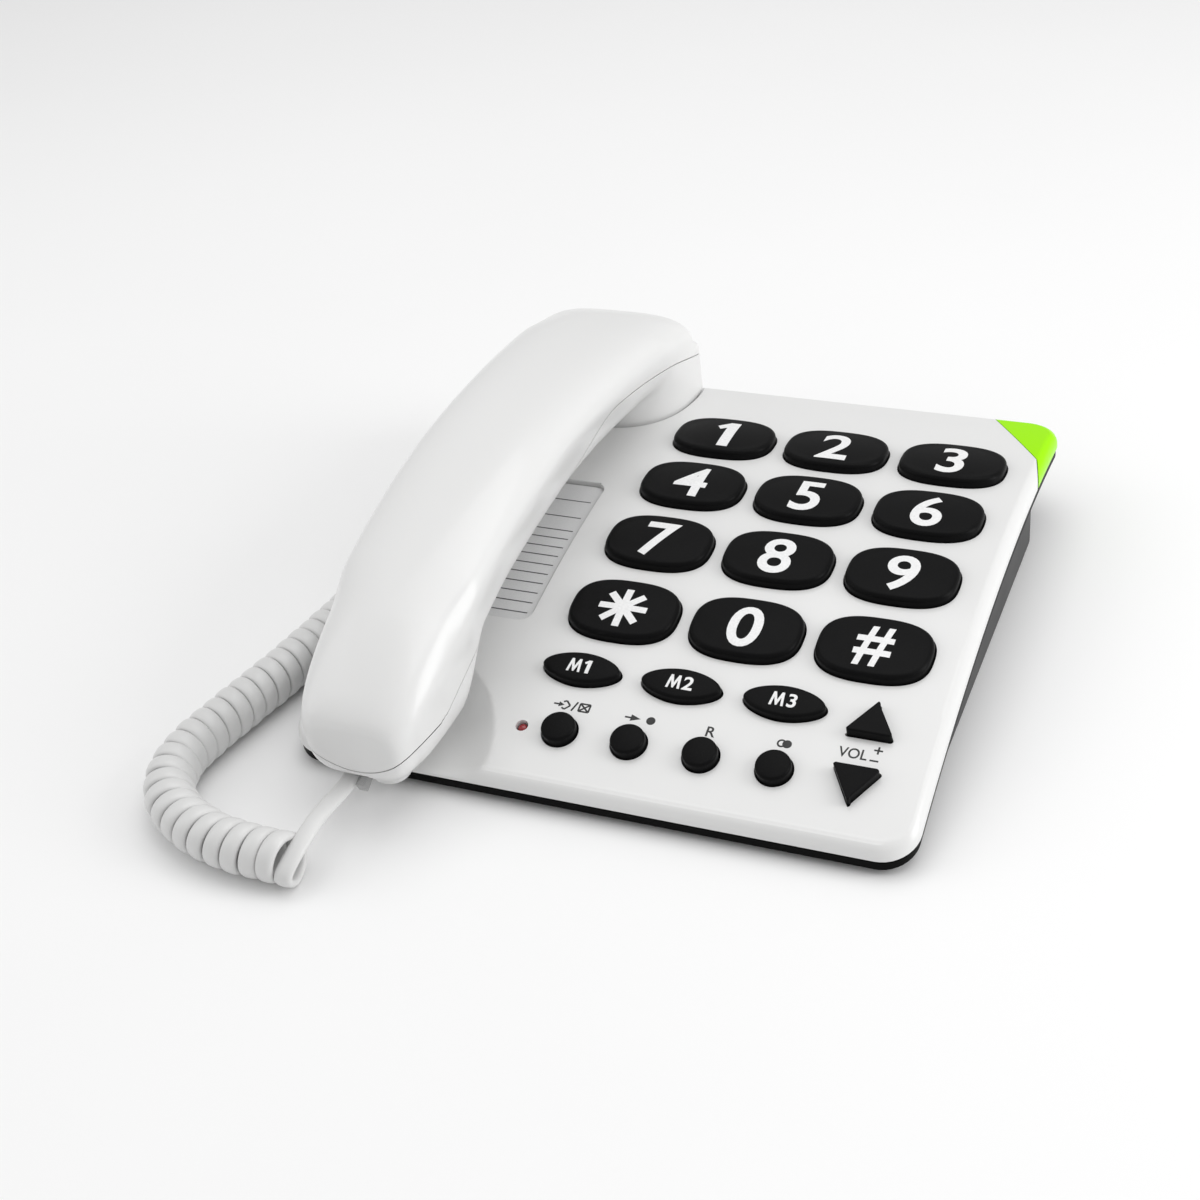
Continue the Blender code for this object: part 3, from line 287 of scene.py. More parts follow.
def ink(name, colour, rough):
    """Pad-printed ink, a little uneven in sheen."""
    made = Nodes(name)
    patchy = made.spread(made.noise(1500.0, 3.0), 0.0, 1.0)
    made.set("Base Color", made.shade(patchy, colour, tuple(c * 0.88 for c in colour)))
    made.set("Roughness", made.spread(made.noise(800.0, 3.0), rough, rough + 0.12))
    return made.material


def board_material():
    """Solder mask with a copper-track pattern under it."""
    made = Nodes("board_green")
    inputs = {"Vector": made.place, "Scale": 260.0}
    cell = made.add("ShaderNodeTexVoronoi", inputs, distance="MANHATTAN")
    track = made.spread(cell.outputs["Distance"], 0.0, 1.0, 0.42, 0.5)
    made.set("Base Color", made.shade(track, (0.012, 0.12, 0.045), (0.03, 0.24, 0.09)))
    made.set("Roughness", 0.35)
    return made.material


def plain(name, colour, *settings, **more):
    return plastic(name, colour, *settings, **more).material


MATERIALS = {
    "white": white_plastic(),
    "lime": plain("lime_plastic", (0.34, 0.82, 0.0005), 0.05, (0.16, 0.22), 2500.0, 0.000006, 0.05),
    "key": key_rubber(),
    "rim": plain("rim_black", (0.003, 0.003, 0.003), 0.2, (0.40, 0.5), 1500.0, 0.00004, 0.06),
    # wall: a lighter copy of the rim's black plastic for the upright side walls, its grey a painted
    # sheen of the bright surroundings seen at a low angle
    "wall": plain("side_wall_painted_sheen", (0.034, 0.034, 0.035), 0.12, (0.36, 0.46), 1300.0, 0.00005, 0.2),
    "dark": plain("dark_plastic", (0.018, 0.018, 0.02), 0.2, (0.4, 0.55), 1500.0, 0.00004),
    "rubber": plain("foot_rubber", (0.016, 0.016, 0.016), 0.3, (0.75, 0.9), 900.0, 0.00012),
    "silicone": plain("mat_silicone", (0.36, 0.36, 0.38), 0.1, (0.55, 0.7), 900.0, 0.00005),
    "cord": plain(
        "cord_jacket", (0.68, 0.68, 0.675), 0.04, (0.33, 0.42), 1500.0, 0.00002, coat=0.1
    ),
    "window": clear_plastic("window_clear", (0.82, 0.82, 0.82), 0.93),
    "plug": clear_plastic("plug_clear", (0.22, 0.22, 0.22), 0.45),
    "paper": paper(),
    "white_ink": ink("white_ink", (0.86, 0.86, 0.86), 0.35),
    "black_ink": ink("black_ink", (0.012, 0.012, 0.012), 0.4),
    "line_ink": ink("line_ink", (0.05, 0.05, 0.055), 0.6),
    "red": plain("red_lens", (0.30, 0.008, 0.015), 0.2, (0.1, 0.18), coat=0.5),
    "steel": metal("zinc_steel", (0.56, 0.56, 0.58), (0.28, 0.42)),
    "gold": metal("contact_gold", (0.83, 0.61, 0.25), (0.2, 0.3)),
    "board": board_material(),
}


# ---------------------------------------------------------------- mesh tools


def mesh_of(name, points, faces):
    """A mesh in millimetres, its faces turned outwards."""
    mesh = bpy.data.meshes.new(name)
    points = [tuple(map(float, point)) for point in points]
    mesh.from_pydata(points, [], [tuple(map(int, face)) for face in faces])
    outward(mesh)
    return mesh


def outward(mesh):
    bm = bmesh.new()
    bm.from_mesh(mesh)
    bmesh.ops.recalc_face_normals(bm, faces=bm.faces)
    bm.to_mesh(mesh)
    bm.free()


def loft(name, rings):
    """A closed solid through rings with the same number of points, capped at both ends."""
    rings = [np.asarray(ring, float) for ring in rings]
    count = len(rings[0])
    points = np.concatenate(rings)
    faces = []
    for level in range(len(rings) - 1):
        low, high = level * count, (level + 1) * count
        for i in range(count):
            j = (i + 1) % count
            faces.append((low + i, low + j, high + j, high + i))
    faces.append(tuple(range(count))[::-1])
    faces.append(tuple(range((len(rings) - 1) * count, len(rings) * count)))
    return mesh_of(name, points, faces)


def level(outline, z):
    outline = np.asarray(outline, float)
    return np.column_stack([outline, np.full(len(outline), float(z))])


def prism(name, outline, low, high):
    return loft(name, [level(outline, low), level(outline, high)])


def quarter_round(radius, turns):
    """(inset, height) along a quarter circle, from its level end at 0 to its upright end at 90."""
    for turn in turns:
        t = math.radians(turn)
        yield radius * (1 - math.sin(t)), radius * (1 - math.cos(t))


def lathe(name, profile, count=48):
    """A turned solid from (radius, z) points that start and end on the axis."""
    angles = np.arange(count) * 2 * math.pi / count
    rings = []
    for radius, z in profile:
        radius = max(radius, 0.02)
        rings.append(level(np.column_stack([radius * np.cos(angles), radius * np.sin(angles)]), z))
    return loft(name, rings)


def joined(name, meshes):
    bm = bmesh.new()
    for mesh in meshes:
        bm.from_mesh(mesh)
    made = bpy.data.meshes.new(name)
    bm.to_mesh(made)
    bm.free()
    return made


def moved(mesh, matrix):
    mesh.transform(matrix)
    return mesh


def temporary(mesh):
    obj = bpy.data.objects.new("temporary", mesh)
    bpy.context.scene.collection.objects.link(obj)
    return obj


def evaluated(obj, others=()):
    bpy.context.view_layer.update()
    graph = bpy.context.evaluated_depsgraph_get()
    mesh = bpy.data.meshes.new_from_object(obj.evaluated_get(graph))
    for item in (obj, *others):
        bpy.data.objects.remove(item)
    return mesh


def combined(mesh, operation, *others):
    """The Boolean of closed meshes."""
    obj = temporary(mesh)
    helpers = [temporary(other) for other in others]
    for helper in helpers:
        modifier = obj.modifiers.new("combine", "BOOLEAN")
        modifier.operation = operation
        modifier.object = helper
        modifier.solver = "MANIFOLD"
    return evaluated(obj, helpers)


def remeshed(mesh, voxel):
    obj = temporary(mesh)
    modifier = obj.modifiers.new("remesh", "REMESH")
    modifier.mode = "VOXEL"
    modifier.voxel_size = voxel
    return evaluated(obj)


def points_of(mesh):
    points = np.empty(len(mesh.vertices) * 3)
    mesh.vertices.foreach_get("co", points)
    return points.reshape(-1, 3)


def set_points(mesh, points):
    mesh.vertices.foreach_set("co", np.asarray(points, float).ravel())
    mesh.update()


def relaxed(mesh, steps):
    """Smooths a mesh.

    A step is the share of the way that each point goes to the mean of its neighbours: a number,
    or a function that gives one for every point.
    """
    points = points_of(mesh)
    edges = np.empty(len(mesh.edges) * 2, np.int64)
    mesh.edges.foreach_get("vertices", edges)
    first, second = edges.reshape(-1, 2).T
    total = len(points)
    near = np.bincount(first, minlength=total) + np.bincount(second, minlength=total)
    for step in steps:
        mean = np.empty_like(points)
        for axis in range(3):
            values = points[:, axis]
            mean[:, axis] = np.bincount(first, values[second], total)
            mean[:, axis] += np.bincount(second, values[first], total)
        mean /= near[:, None]
        share = step(points) if callable(step) else step
        points = points + np.reshape(share, (-1, 1)) * (mean - points)
    set_points(mesh, points)
    return mesh


def piece(name, mesh, material, body, slot, replaces=(), sharp=32.0, normals=None):
    """Moves a finished mesh into the row frame and makes it a piece that rides on a body."""
    if isinstance(material, str):
        mesh.materials.clear()
        mesh.materials.append(MATERIALS[material])
    mesh.shade_smooth()
    mesh.set_sharp_from_angle(angle=math.radians(sharp))
    if normals is not None:
        mesh.normals_split_custom_set(normals(mesh))
    mesh.transform(Matrix.Translation(ORIGIN) @ Matrix.Scale(MM, 4))
    mesh.name = name
    obj = bpy.data.objects.new(name, mesh)
    bpy.context.scene.collection.objects.link(obj)
    if body:
        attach(obj, body)
    if replaces:
        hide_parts(*replaces)
    return obj


# ---------------------------------------------------------------- outlines and panel


def oval(half_x, half_y, power, count):
    angle = 2 * math.pi * (np.arange(count) + 0.5) / count
    c, s = np.cos(angle), np.sin(angle)
    x = half_x * np.sign(c) * np.abs(c) ** (2 / power)
    y = half_y * np.sign(s) * np.abs(s) ** (2 / power)
    return np.column_stack([x, y])


def arc_z(y):
    return ARC_Z + np.sqrt(ARC_RADIUS**2 - (y - ARC_Y) ** 2)


def panel_matrix(x, along):
    """Frame on the panel: local Z is its outward normal, and local Y runs up the panel."""
    angle = -math.asin(ARC_Y / ARC_RADIUS) + along / ARC_RADIUS
    y = ARC_Y + ARC_RADIUS * math.sin(angle)
    z = ARC_Z + ARC_RADIUS * math.cos(angle)
    return Matrix.Translation((x, y, z)) @ Matrix.Rotation(-angle, 4, "X")


def half_outline(left, right, front, rear, corner, side_steps, corner_steps):
    """(half width, y) from front to rear along one side of a rounded rectangle."""
    half = (right - left) / 2
    turn = math.pi / 2 * np.arange(corner_steps + 1) / corner_steps
    cos, sin = corner * np.cos(turn), corner * np.sin(turn)
    low = np.column_stack([half - corner + sin, front + corner - cos])
    y = front + corner + (rear - front - 2 * corner) * np.arange(1, side_steps) / side_steps
    side = np.column_stack([np.full(len(y), half), y])
    high = np.column_stack([half - corner + cos, rear - corner + sin])
    return np.concatenate([low, side, high])


def rows_of(inset, left=BASE_LEFT, right=BASE_RIGHT, front=BASE_FRONT, rear=BASE_REAR):
    corner = BASE_CORNER - inset * 0.7
    sides = (left + inset, right - inset, front + inset, rear - inset)
    return half_outline(*sides, corner, SIDE_STEPS, CORNER_STEPS)


def loop_of(rows):
    """The closed plan outline of rows: right side, rear edge, left side, then front edge."""
    across = 1 - 2 * np.arange(1, COLUMNS) / COLUMNS
    right = np.column_stack([BASE_MIDDLE + rows[:, 0], rows[:, 1]])
    rear = np.column_stack([BASE_MIDDLE + rows[-1, 0] * across, np.full(COLUMNS - 1, rows[-1, 1])])
    left = np.column_stack([BASE_MIDDLE - rows[::-1, 0], rows[::-1, 1]])
    front = np.column_stack([BASE_MIDDLE - rows[0, 0] * across, np.full(COLUMNS - 1, rows[0, 1])])
    return np.concatenate([right, rear, left, front])


RIDGE = loop_of(rows_of(RIDGE_INSET))


def base_loop(inset):
    return loop_of(rows_of(inset))


def body_rows(inset):
    """Rows for the side walls, which stand inside the casing's edge."""
    left, right = BASE_LEFT + BODY_INSET, BASE_RIGHT - BODY_INSET
    return rows_of(inset, left, right, BASE_FRONT + BODY_INSET, BODY_REAR)


def body_loop(inset):
    return loop_of(body_rows(inset))


def lifted(loop, z):
    return np.column_stack([loop, z])


def hoop_mesh(name, hoops, caps):
    """A closed solid through matching loops; caps holds (rows, height function) for both ends."""
    count = len(hoops[0])
    points = [np.concatenate(hoops)]
    faces = []
    for index in range(len(hoops) - 1):
        low, high = index * count, (index + 1) * count
        near = np.arange(count)
        far = np.roll(near, -1)
        faces.extend(np.column_stack([low + near, low + far, high + far, high + near]).tolist())
    total = count * len(hoops)
    depth = SIDE_STEPS + 2 * CORNER_STEPS + 1
    border = [(i, 0) for i in range(depth)]
    border += [(depth - 1, j) for j in range(1, COLUMNS)]
    border += [(i, COLUMNS) for i in range(depth - 1, -1, -1)]
    border += [(0, j) for j in range(COLUMNS - 1, 0, -1)]
    for start, (rows, height) in zip((0, (len(hoops) - 1) * count), caps):
        grid = np.full((depth, COLUMNS + 1), -1)
        for k, (i, j) in enumerate(border):
            grid[i, j] = start + k
        x = BASE_MIDDLE + rows[1:-1, :1] * (1 - 2 * np.arange(1, COLUMNS) / COLUMNS)[None, :]
        y = np.repeat(rows[1:-1, 1:], COLUMNS - 1, axis=1)
        grid[1:-1, 1:-1] = total + np.arange(x.size).reshape(x.shape)
        total += x.size
        points.append(np.column_stack([x.ravel(), y.ravel(), height(x, y).ravel()]))
        corners = (grid[:-1, :-1], grid[1:, :-1], grid[1:, 1:], grid[:-1, 1:])
        faces.extend(np.column_stack([c.ravel() for c in corners]).tolist())
    return mesh_of(name, np.concatenate(points), faces)


def smooth_least(a, b, width):
    """The lower of two heights, with a rounded edge where they meet."""
    share = np.clip(0.5 + 0.5 * (b - a) / width, 0, 1)
    return b + (a - b) * share - width * share * (1 - share)


def smooth_step(value):
    value = np.clip(value, 0.0, 1.0)
    return value * value * (3 - 2 * value)


def mouth_dish_height(x, y):
    """Height of the shallow bowl that holds the mouthpiece; far above the panel outside it."""
    pitch_cos, pitch_sin = math.cos(HANDSET_PITCH), math.sin(HANDSET_PITCH)
    along = (y - HANDSET_ORIGIN[1] + MOUTH_DISH["floor"] * pitch_sin) / pitch_cos
    floor = HANDSET_ORIGIN[2] + along * pitch_sin + MOUTH_DISH["floor"] * pitch_cos
    across = x - HANDSET_ORIGIN[0] - MOUTH_DISH["centre"][0]
    power = MOUTH_DISH["power"]
    ratio = np.abs(across / MOUTH_DISH["rim"][0]) ** power
    ratio = ratio + np.abs((along - MOUTH_DISH["centre"][1]) / MOUTH_DISH["rim"][1]) ** power
    inside = (1 - ratio ** (1 / power)) * MOUTH_DISH["rim"][0]
    rise = np.clip(1 - inside / MOUTH_DISH["wall"], 0, 3) ** 2.3 * DISH_RISE
    left = np.clip((MOUTH_DISH["left"] - x) / 4.0, 0, 3) ** 2 * DISH_RISE
    return floor + rise + left


def casing_top(x, y):
    return smooth_least(arc_z(y), mouth_dish_height(x, y), 1.0)


def top_normals(mesh):
    """Corner normals that are exact on the panel and its dish, and the mesh's own elsewhere."""
    points = points_of(mesh)
    corners = np.empty(len(mesh.loops), np.int64)
    mesh.loops.foreach_get("vertex_index", corners)
    own = np.empty(len(mesh.loops) * 3)
    mesh.corner_normals.foreach_get("vector", own)
    own = own.reshape(-1, 3)
    sizes = np.empty(len(mesh.polygons), np.int64)
    mesh.polygons.foreach_get("loop_total", sizes)
    flat = np.empty(len(mesh.polygons) * 3)
    mesh.polygons.foreach_get("normal", flat)
    flat = np.repeat(flat.reshape(-1, 3), sizes, axis=0)
    x, y, z = points.T
    tiny = 0.05
    slope_x = (casing_top(x + tiny, y) - casing_top(x - tiny, y)) / (2 * tiny)
    slope_y = (casing_top(x, y + tiny) - casing_top(x, y - tiny)) / (2 * tiny)
    exact = np.column_stack([-slope_x, -slope_y, np.ones(len(x))])
    exact /= np.linalg.norm(exact, axis=1)[:, None]
    near = np.abs(z - casing_top(x, y)) < 0.05
    exact = exact[corners]
    use = near[corners] & ((exact * flat).sum(axis=1) > 0.93)
    return np.where(use[:, None], exact, own).tolist()


def casing_shell(top):
    """The upper casing's plain shell under a height function: panel, rolled lip and inside."""
    ridge_z = top(RIDGE[:, 0], RIDGE[:, 1])
    low_z = arc_z(RIDGE[:, 1]) - LIP_DROP
    hoops = []
    inner_rows = rows_of(RIDGE_INSET + 2.4)
    inner = loop_of(inner_rows)
    hoops.append(lifted(inner, top(inner[:, 0], inner[:, 1]) - WALL))
    hoops.append(lifted(base_loop(WALL + 0.6), np.maximum(ridge_z - WALL - 1.2, low_z + 0.3)))
    hoops.append(lifted(base_loop(WALL), low_z))
    hoops.append(lifted(base_loop(0.25), low_z))
    hoops.append(lifted(base_loop(0.0), low_z + 0.3))
    turns = np.linspace(90, 0, 9)
    for turn in turns:
        t = math.radians(turn)
        inset = RIDGE_INSET * (1 - math.sin(t))
        drop = (ridge_z - low_z) * 0.78 * (1 - math.cos(t))
        hoops.append(lifted(base_loop(inset), ridge_z - drop))
    caps = (
        (inner_rows, lambda x, y: top(x, y) - WALL),
        (rows_of(RIDGE_INSET), top),
    )
    return hoop_mesh("casing_shell", hoops, caps)


# ---------------------------------------------------------------- base


def handset_matrix():
    return Matrix.Translation(HANDSET_ORIGIN) @ Matrix.Rotation(HANDSET_PITCH, 4, "X")


def ear_dish_mesh(grow, top):
    """The room of the rear dish, grown on all sides, with a rounded lower edge."""
    half_x, half_y = EAR_DISH["half"][0] + grow, EAR_DISH["half"][1] + grow
    low = EAR_DISH["floor"] - grow

    def outline(shrink):
        return oval(half_x - shrink, half_y - shrink, EAR_DISH["power"], 120)

    rings = []
    for inset, rise in quarter_round(DISH_EDGE, (0, 20, 40, 60, 80, 90)):
        rings.append(level(outline(inset) + EAR_DISH["centre"], low + rise))
    rings.append(level(outline(0.0) * 1.012 + EAR_DISH["centre"], top))
    return moved(loft("ear_dish", rings), handset_matrix())


def hook_matrix():
    along = (HOOK_Y - HANDSET_ORIGIN[1]) / math.cos(HANDSET_PITCH)
    z = HANDSET_ORIGIN[2] + along * math.sin(HANDSET_PITCH) + EAR_DISH["floor"]
    return Matrix.Translation((HANDSET_ORIGIN[0], HOOK_Y, z))


def rounded_triangle(half, radius, tip, steps=6):
    corners = [(-half, -half), (half, -half), (0.0, half)]
    inner = 1 - radius / half
    points = []
    for index, start in enumerate((180, 270, 0)):
        cx, cy = corners[index][0] * inner, corners[index][1] * inner * 0.86
        for step in np.linspace(10, 110, steps):
            angle = math.radians(start + step - (30 if index == 2 else 0))
            points.append((cx + radius * math.cos(angle), cy + radius * math.sin(angle)))
    if tip < 0:
        points = [(x, -y) for x, y in reversed(points)]
    return np.array(points)


def grown(outline, by):
    length = np.linalg.norm(outline, axis=1)
    return outline * (1 + by / length)[:, None]


def dial_outline(shrink):
    return oval(DIAL_HALF[0] - shrink, DIAL_HALF[1] - shrink, DIAL_POWER, 96)


def memory_outline(shrink):
    return oval(MEMORY_HALF[0] - shrink * 1.5, MEMORY_HALF[1] - shrink, MEMORY_POWER, 80)


def function_outline(shrink):
    return oval(FUNCTION_RADIUS - shrink, FUNCTION_RADIUS - shrink, 2.0, 64)


def volume_outline(tip):
    def outline(shrink):
        return rounded_triangle(VOLUME_HALF - shrink * 1.3, VOLUME_CORNER - shrink * 0.25, tip)

    return outline


def key_table():
    """Every key: name, place on the panel, outline for a shrink, height, shoulder and crown."""
    keys = []
    for index, label in enumerate(DIAL_LABELS):
        row, column = divmod(index, 3)
        place = ((column - 1) * KEY_PITCH_X, (1.5 - row) * KEY_PITCH_S)
        keys.append((f"key_{label}", place, dial_outline, KEY_HEIGHT, 1.5, 0.55))
    for index, x in enumerate(MEMORY_X):
        name = f"memory_key_{index + 1}"
        keys.append((name, (x, MEMORY_S), memory_outline, SMALL_KEY_HEIGHT, 0.9, 0.3))
    for label, x in zip(("store", "redial", "recall", "mute"), FUNCTION_X):
        name, height = f"function_key_{label}", SMALL_KEY_HEIGHT + 0.4
        keys.append((name, (x, FUNCTION_S), function_outline, height, 0.9, 0.25))
    for name, (x, along, tip) in VOLUME_PLACES.items():
        height = SMALL_KEY_HEIGHT + 0.3
        keys.append((name, (x, along), volume_outline(tip), height, 0.45, 0.12))
    return keys


KEYS = key_table()


def crown_height(points, outline, height, rise):
    """Height of a key's domed top at plan points."""
    reach = np.abs(outline).max(axis=0)
    share = (points[:, 0] / reach[0]) ** 2 + (points[:, 1] / reach[1]) ** 2
    return height + rise * (1 - np.clip(share, 0, 1))


def key_mesh(name, outline, height, shoulder, rise):
    """A key cap: stem, straight side, rounded shoulder and a shallow dome."""
    stem = oval(2.4, 2.4, 2.0, len(outline(0.0)))
    rings = [level(stem, -WALL - 2.2), level(stem, -WALL - 1.2), level(outline(0.0), -WALL - 0.6)]
    edge = outline(shoulder)
    for drop, inset in quarter_round(shoulder, range(0, 91, 15)):
        rings.append(level(outline(inset), height - drop))
    for share in (0.93, 0.82, 0.66, 0.48, 0.3, 0.12):
        ring = edge * share
        top = crown_height(ring, edge, height, rise)
        rings.append(np.column_stack([ring, top]))
    return loft(name, rings)


def add_keys():
    wells = []
    for name, place, outline, height, shoulder, rise in KEYS:
        matrix = panel_matrix(*place)
        mesh = moved(key_mesh(name, outline, height, shoulder, rise), matrix)
        piece(f"{name}_cap", mesh, "key", name, "key_plastic", [name], 40.0)
        wells.append(moved(prism(name, grown(outline(0.0), WELL_GAP), -WALL - 4, 4.0), matrix))
    return wells


def strip(name, x_range, y_range, drops, corner=0.0, steps=24):
    """A plate that follows the panel, between two depths below its surface."""
    corner_steps = 8 if corner else 1
    rows = half_outline(*x_range, *y_range, max(corner, 0.001), steps, corner_steps)
    middle = (x_range[0] + x_range[1]) / 2
    plan = np.concatenate([rows + (middle, 0), (rows * (-1, 1) + (middle, 0))[::-1]])
    points = np.concatenate([lifted(plan, arc_z(plan[:, 1]) - drop) for drop in drops])
    count, half = len(plan), len(rows)
    faces = [(i, (i + 1) % count, count + (i + 1) % count, count + i) for i in range(count)]
    for base in (0, count):
        for i in range(half - 1):
            faces.append((base + i, base + i + 1, base + count - 2 - i, base + count - 1 - i))
    return mesh_of(name, points, faces)


def bowl_limit():
    """The room under the panel that the rear dish's bowl may fill."""
    low = arc_z(RIDGE[:, 1]) - LIP_DROP
    floor_rows, roof_rows = rows_of(BODY_INSET + WALL + 0.4), rows_of(RIDGE_INSET + 0.2)
    under, roof = base_loop(BODY_INSET + WALL + 0.4), loop_of(roof_rows)
    hoops = [lifted(under, low - 24.6), lifted(under, low), lifted(base_loop(0.4), low)]
    hoops.append(lifted(roof, arc_z(roof[:, 1]) - 0.5))
    caps = ((floor_rows, lambda x, y: arc_z(y) - 30.0), (roof_rows, lambda x, y: arc_z(y) - 0.5))
    return hoop_mesh("bowl_limit", hoops, caps)


def mouth_rest():
    """The small round rest under the handset's mouth end."""
    foot, top = MOUTH_DISH["floor"] - DISH_WALL / 2, MOUTH_POD["bottom"] - GAP
    profile = [(0, foot), (REST_RADIUS, foot), (REST_RADIUS, top - 0.6)]
    profile += [(REST_RADIUS - 0.6, top), (0, top)]
    return moved(lathe("rest", profile), handset_matrix() @ Matrix.Translation((0, REST_Y, 0)))


def panel_cuts():
    """Card pocket, finger slot, LED hole and plunger hole."""
    slot_x = (WINDOW_X[0] + 4.0, WINDOW_X[1] - 2.2)
    slot_y = (WINDOW_Y[1] - 0.35, WINDOW_Y[1] + 0.25)
    led_hole = lathe("led_hole", [(0, -6), (1.8, -6), (1.8, -0.25), (2.1, 3), (0, 3)])
    return [
        strip("card_pocket", WINDOW_X, WINDOW_Y, (1.6, -2.0), WINDOW_CORNER),
        strip("finger_slot", slot_x, slot_y, (6.0, -2.0), 0.0, 2),
        moved(led_hole, panel_matrix(*LED_PLACE)),
        moved(prism("plunger_hole", oval(7.3, 4.8, 3.0, 48), -8, 8), hook_matrix()),
    ]


def add_upper_casing(wells):
    shell = casing_shell(casing_top)
    bowl = combined(ear_dish_mesh(DISH_WALL, DISH_TOP - 0.5), "INTERSECT", bowl_limit())
    shell = combined(shell, "UNION", bowl)
    shell = combined(shell, "DIFFERENCE", ear_dish_mesh(0.0, DISH_TOP))
    shell = combined(shell, "UNION", mouth_rest())
    opening = prism("corner_opening", CAP_PLAN, 0, 60)
    shell = combined(shell, "DIFFERENCE", opening, *wells, *panel_cuts())
    finish = {"replaces": ["upper_casing"], "normals": top_normals}
    piece("upper_casing_shell", shell, "white", "base", "white_plastic", **finish)


def add_corner_cap():
    """The cap is the plain shell inside the corner opening, with a gap on the opening's sides."""
    shifts = ((1.4, 0.0), (1.3, 0.6), (1.2, 1.0), (0.0, 1.0), (0.0, 0.0), (0.0, 0.0))
    region = [(x + CAP_GAP * a, y + CAP_GAP * b) for (x, y), (a, b) in zip(CAP_PLAN, shifts)]
    plain_shell = casing_shell(lambda x, y: arc_z(y))
    cap = combined(plain_shell, "INTERSECT", prism("cap_region", region, 0, 60))
    finish = {"replaces": ["corner_cap"], "normals": top_normals}
    piece("corner_cap_shell", cap, "lime", "base", "green_plastic", **finish)


def lower_casing_mesh():
    rim_top = LIP_DROP + GAP
    ridge_z = arc_z(RIDGE[:, 1])
    inner, outer = body_loop(WALL), body_loop(0.0)

    def shelf(loop, drop, low_limit):
        panel_z = arc_z(np.minimum(loop[:, 1], RIDGE[:, 1]))
        return lifted(loop, np.maximum(panel_z - drop, low_limit))

    rim_low = np.maximum(ridge_z - rim_top - RIM_HEIGHT, FLOOR_BOTTOM + 0.15)
    wall_top = shelf(outer, rim_top + RIM_HEIGHT, FLOOR_BOTTOM + 0.1)
    wall_low = wall_top.copy()
    wall_low[:, 2] = np.minimum(wall_top[:, 2], FLOOR_BOTTOM + 1.2) - 0.04
    floor_rows, bottom_rows = body_rows(WALL + 1.0), body_rows(1.2)
    count = len(RIDGE)
    hoops = [
        lifted(loop_of(floor_rows), np.full(count, FLOOR_TOP)),
        lifted(inner, np.full(count, FLOOR_TOP + 0.3)),
        shelf(inner, rim_top + 1.9, FLOOR_TOP + 0.4),
        lifted(base_loop(WALL + 0.5), ridge_z - rim_top - 1.9),
        lifted(base_loop(WALL + 0.4), ridge_z - rim_top),
        lifted(base_loop(0.7), ridge_z - rim_top),
        lifted(base_loop(0.4), ridge_z - rim_top - 0.3),
        lifted(base_loop(0.4), rim_low + 0.5),
        lifted(base_loop(0.9), rim_low),
        wall_top,
        wall_low,
        lifted(loop_of(bottom_rows), np.full(count, FLOOR_BOTTOM)),
    ]
    floor, bottom = (lambda x, y: x * 0 + FLOOR_TOP), (lambda x, y: x * 0 + FLOOR_BOTTOM)
    return hoop_mesh("lower_casing", hoops, ((floor_rows, floor), (bottom_rows, bottom)))


def node_middle(name):
    """Middle of a CAD node's box, in the design frame."""
    low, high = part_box(name)
    return ((low + high) / 2 - ORIGIN) / MM


def box_cut(size, centre):
    half = np.array(size) / 2
    outline = [(-half[0], -half[1]), (half[0], -half[1]), (half[0], half[1]), (-half[0], half[1])]
    return moved(prism("box", outline, -half[2], half[2]), Matrix.Translation(centre))


def add_lower_casing():
    cuts = []
    recess = [(0, -1), (FOOT_RADIUS + 0.5, -1), (FOOT_RADIUS + 0.5, 2.3), (0, 2.3)]
    sink = [(0, -1), (3.3, -1), (3.3, FLOOR_BOTTOM - 0.02)]
    sink += [(1.9, FLOOR_BOTTOM + 1.4), (1.9, 8), (0, 8)]
    for corner in CORNERS:
        for kind, profile in (("rubber_foot", recess), ("casing_screw", sink)):
            x, y, _ = node_middle(f"{kind}_{corner}")
            cuts.append(moved(lathe(kind, profile), Matrix.Translation((x, y, 0))))
    cuts.append(box_cut((14.6, 8, 12.6), (LINE_JACK_X, BODY_REAR, LINE_JACK_Z)))
    cuts.append(box_cut((9, 12.6, 10.6), (BASE_LEFT + BODY_INSET, CORD_JACK_Y, CORD_JACK_Z)))
    cuts.append(box_cut((12.4, 8, 3.4), (SWITCH_X, BODY_REAR, SWITCH_Z)))
    for index in range(-3, 4):
        length = 24.0 - 1.6 * abs(index) ** 1.5
        slot = prism("sound_slot", oval(length / 2, 0.9, 4.0, 40), 0, 8)
        cuts.append(moved(slot, Matrix.Translation((-84.0, 14.0 + 3.6 * index, 0))))
    mesh = combined(lower_casing_mesh(), "DIFFERENCE", *cuts)
    mesh.materials.clear()
    mesh.materials.append(MATERIALS["rim"])
    mesh.materials.append(MATERIALS["wall"])
    # Upright faces under the rim, away from the front strip, take the lighter copy: painted sheen
    # on the side walls, while the front strip keeps the black
    for face in mesh.polygons:
        _, y, z = face.center
        panel_z = float(arc_z(min(max(y, BASE_FRONT), BASE_REAR)))
        under_rim = z < panel_z - LIP_DROP - GAP - RIM_HEIGHT + 0.5
        upright = abs(face.normal.z) < 0.75
        if upright and under_rim and z > FLOOR_BOTTOM + 0.1 and y > BASE_FRONT + 9:
            face.material_index = 1
    piece("lower_casing_shell", mesh, None, "base", "black_plastic", ["lower_casing"])


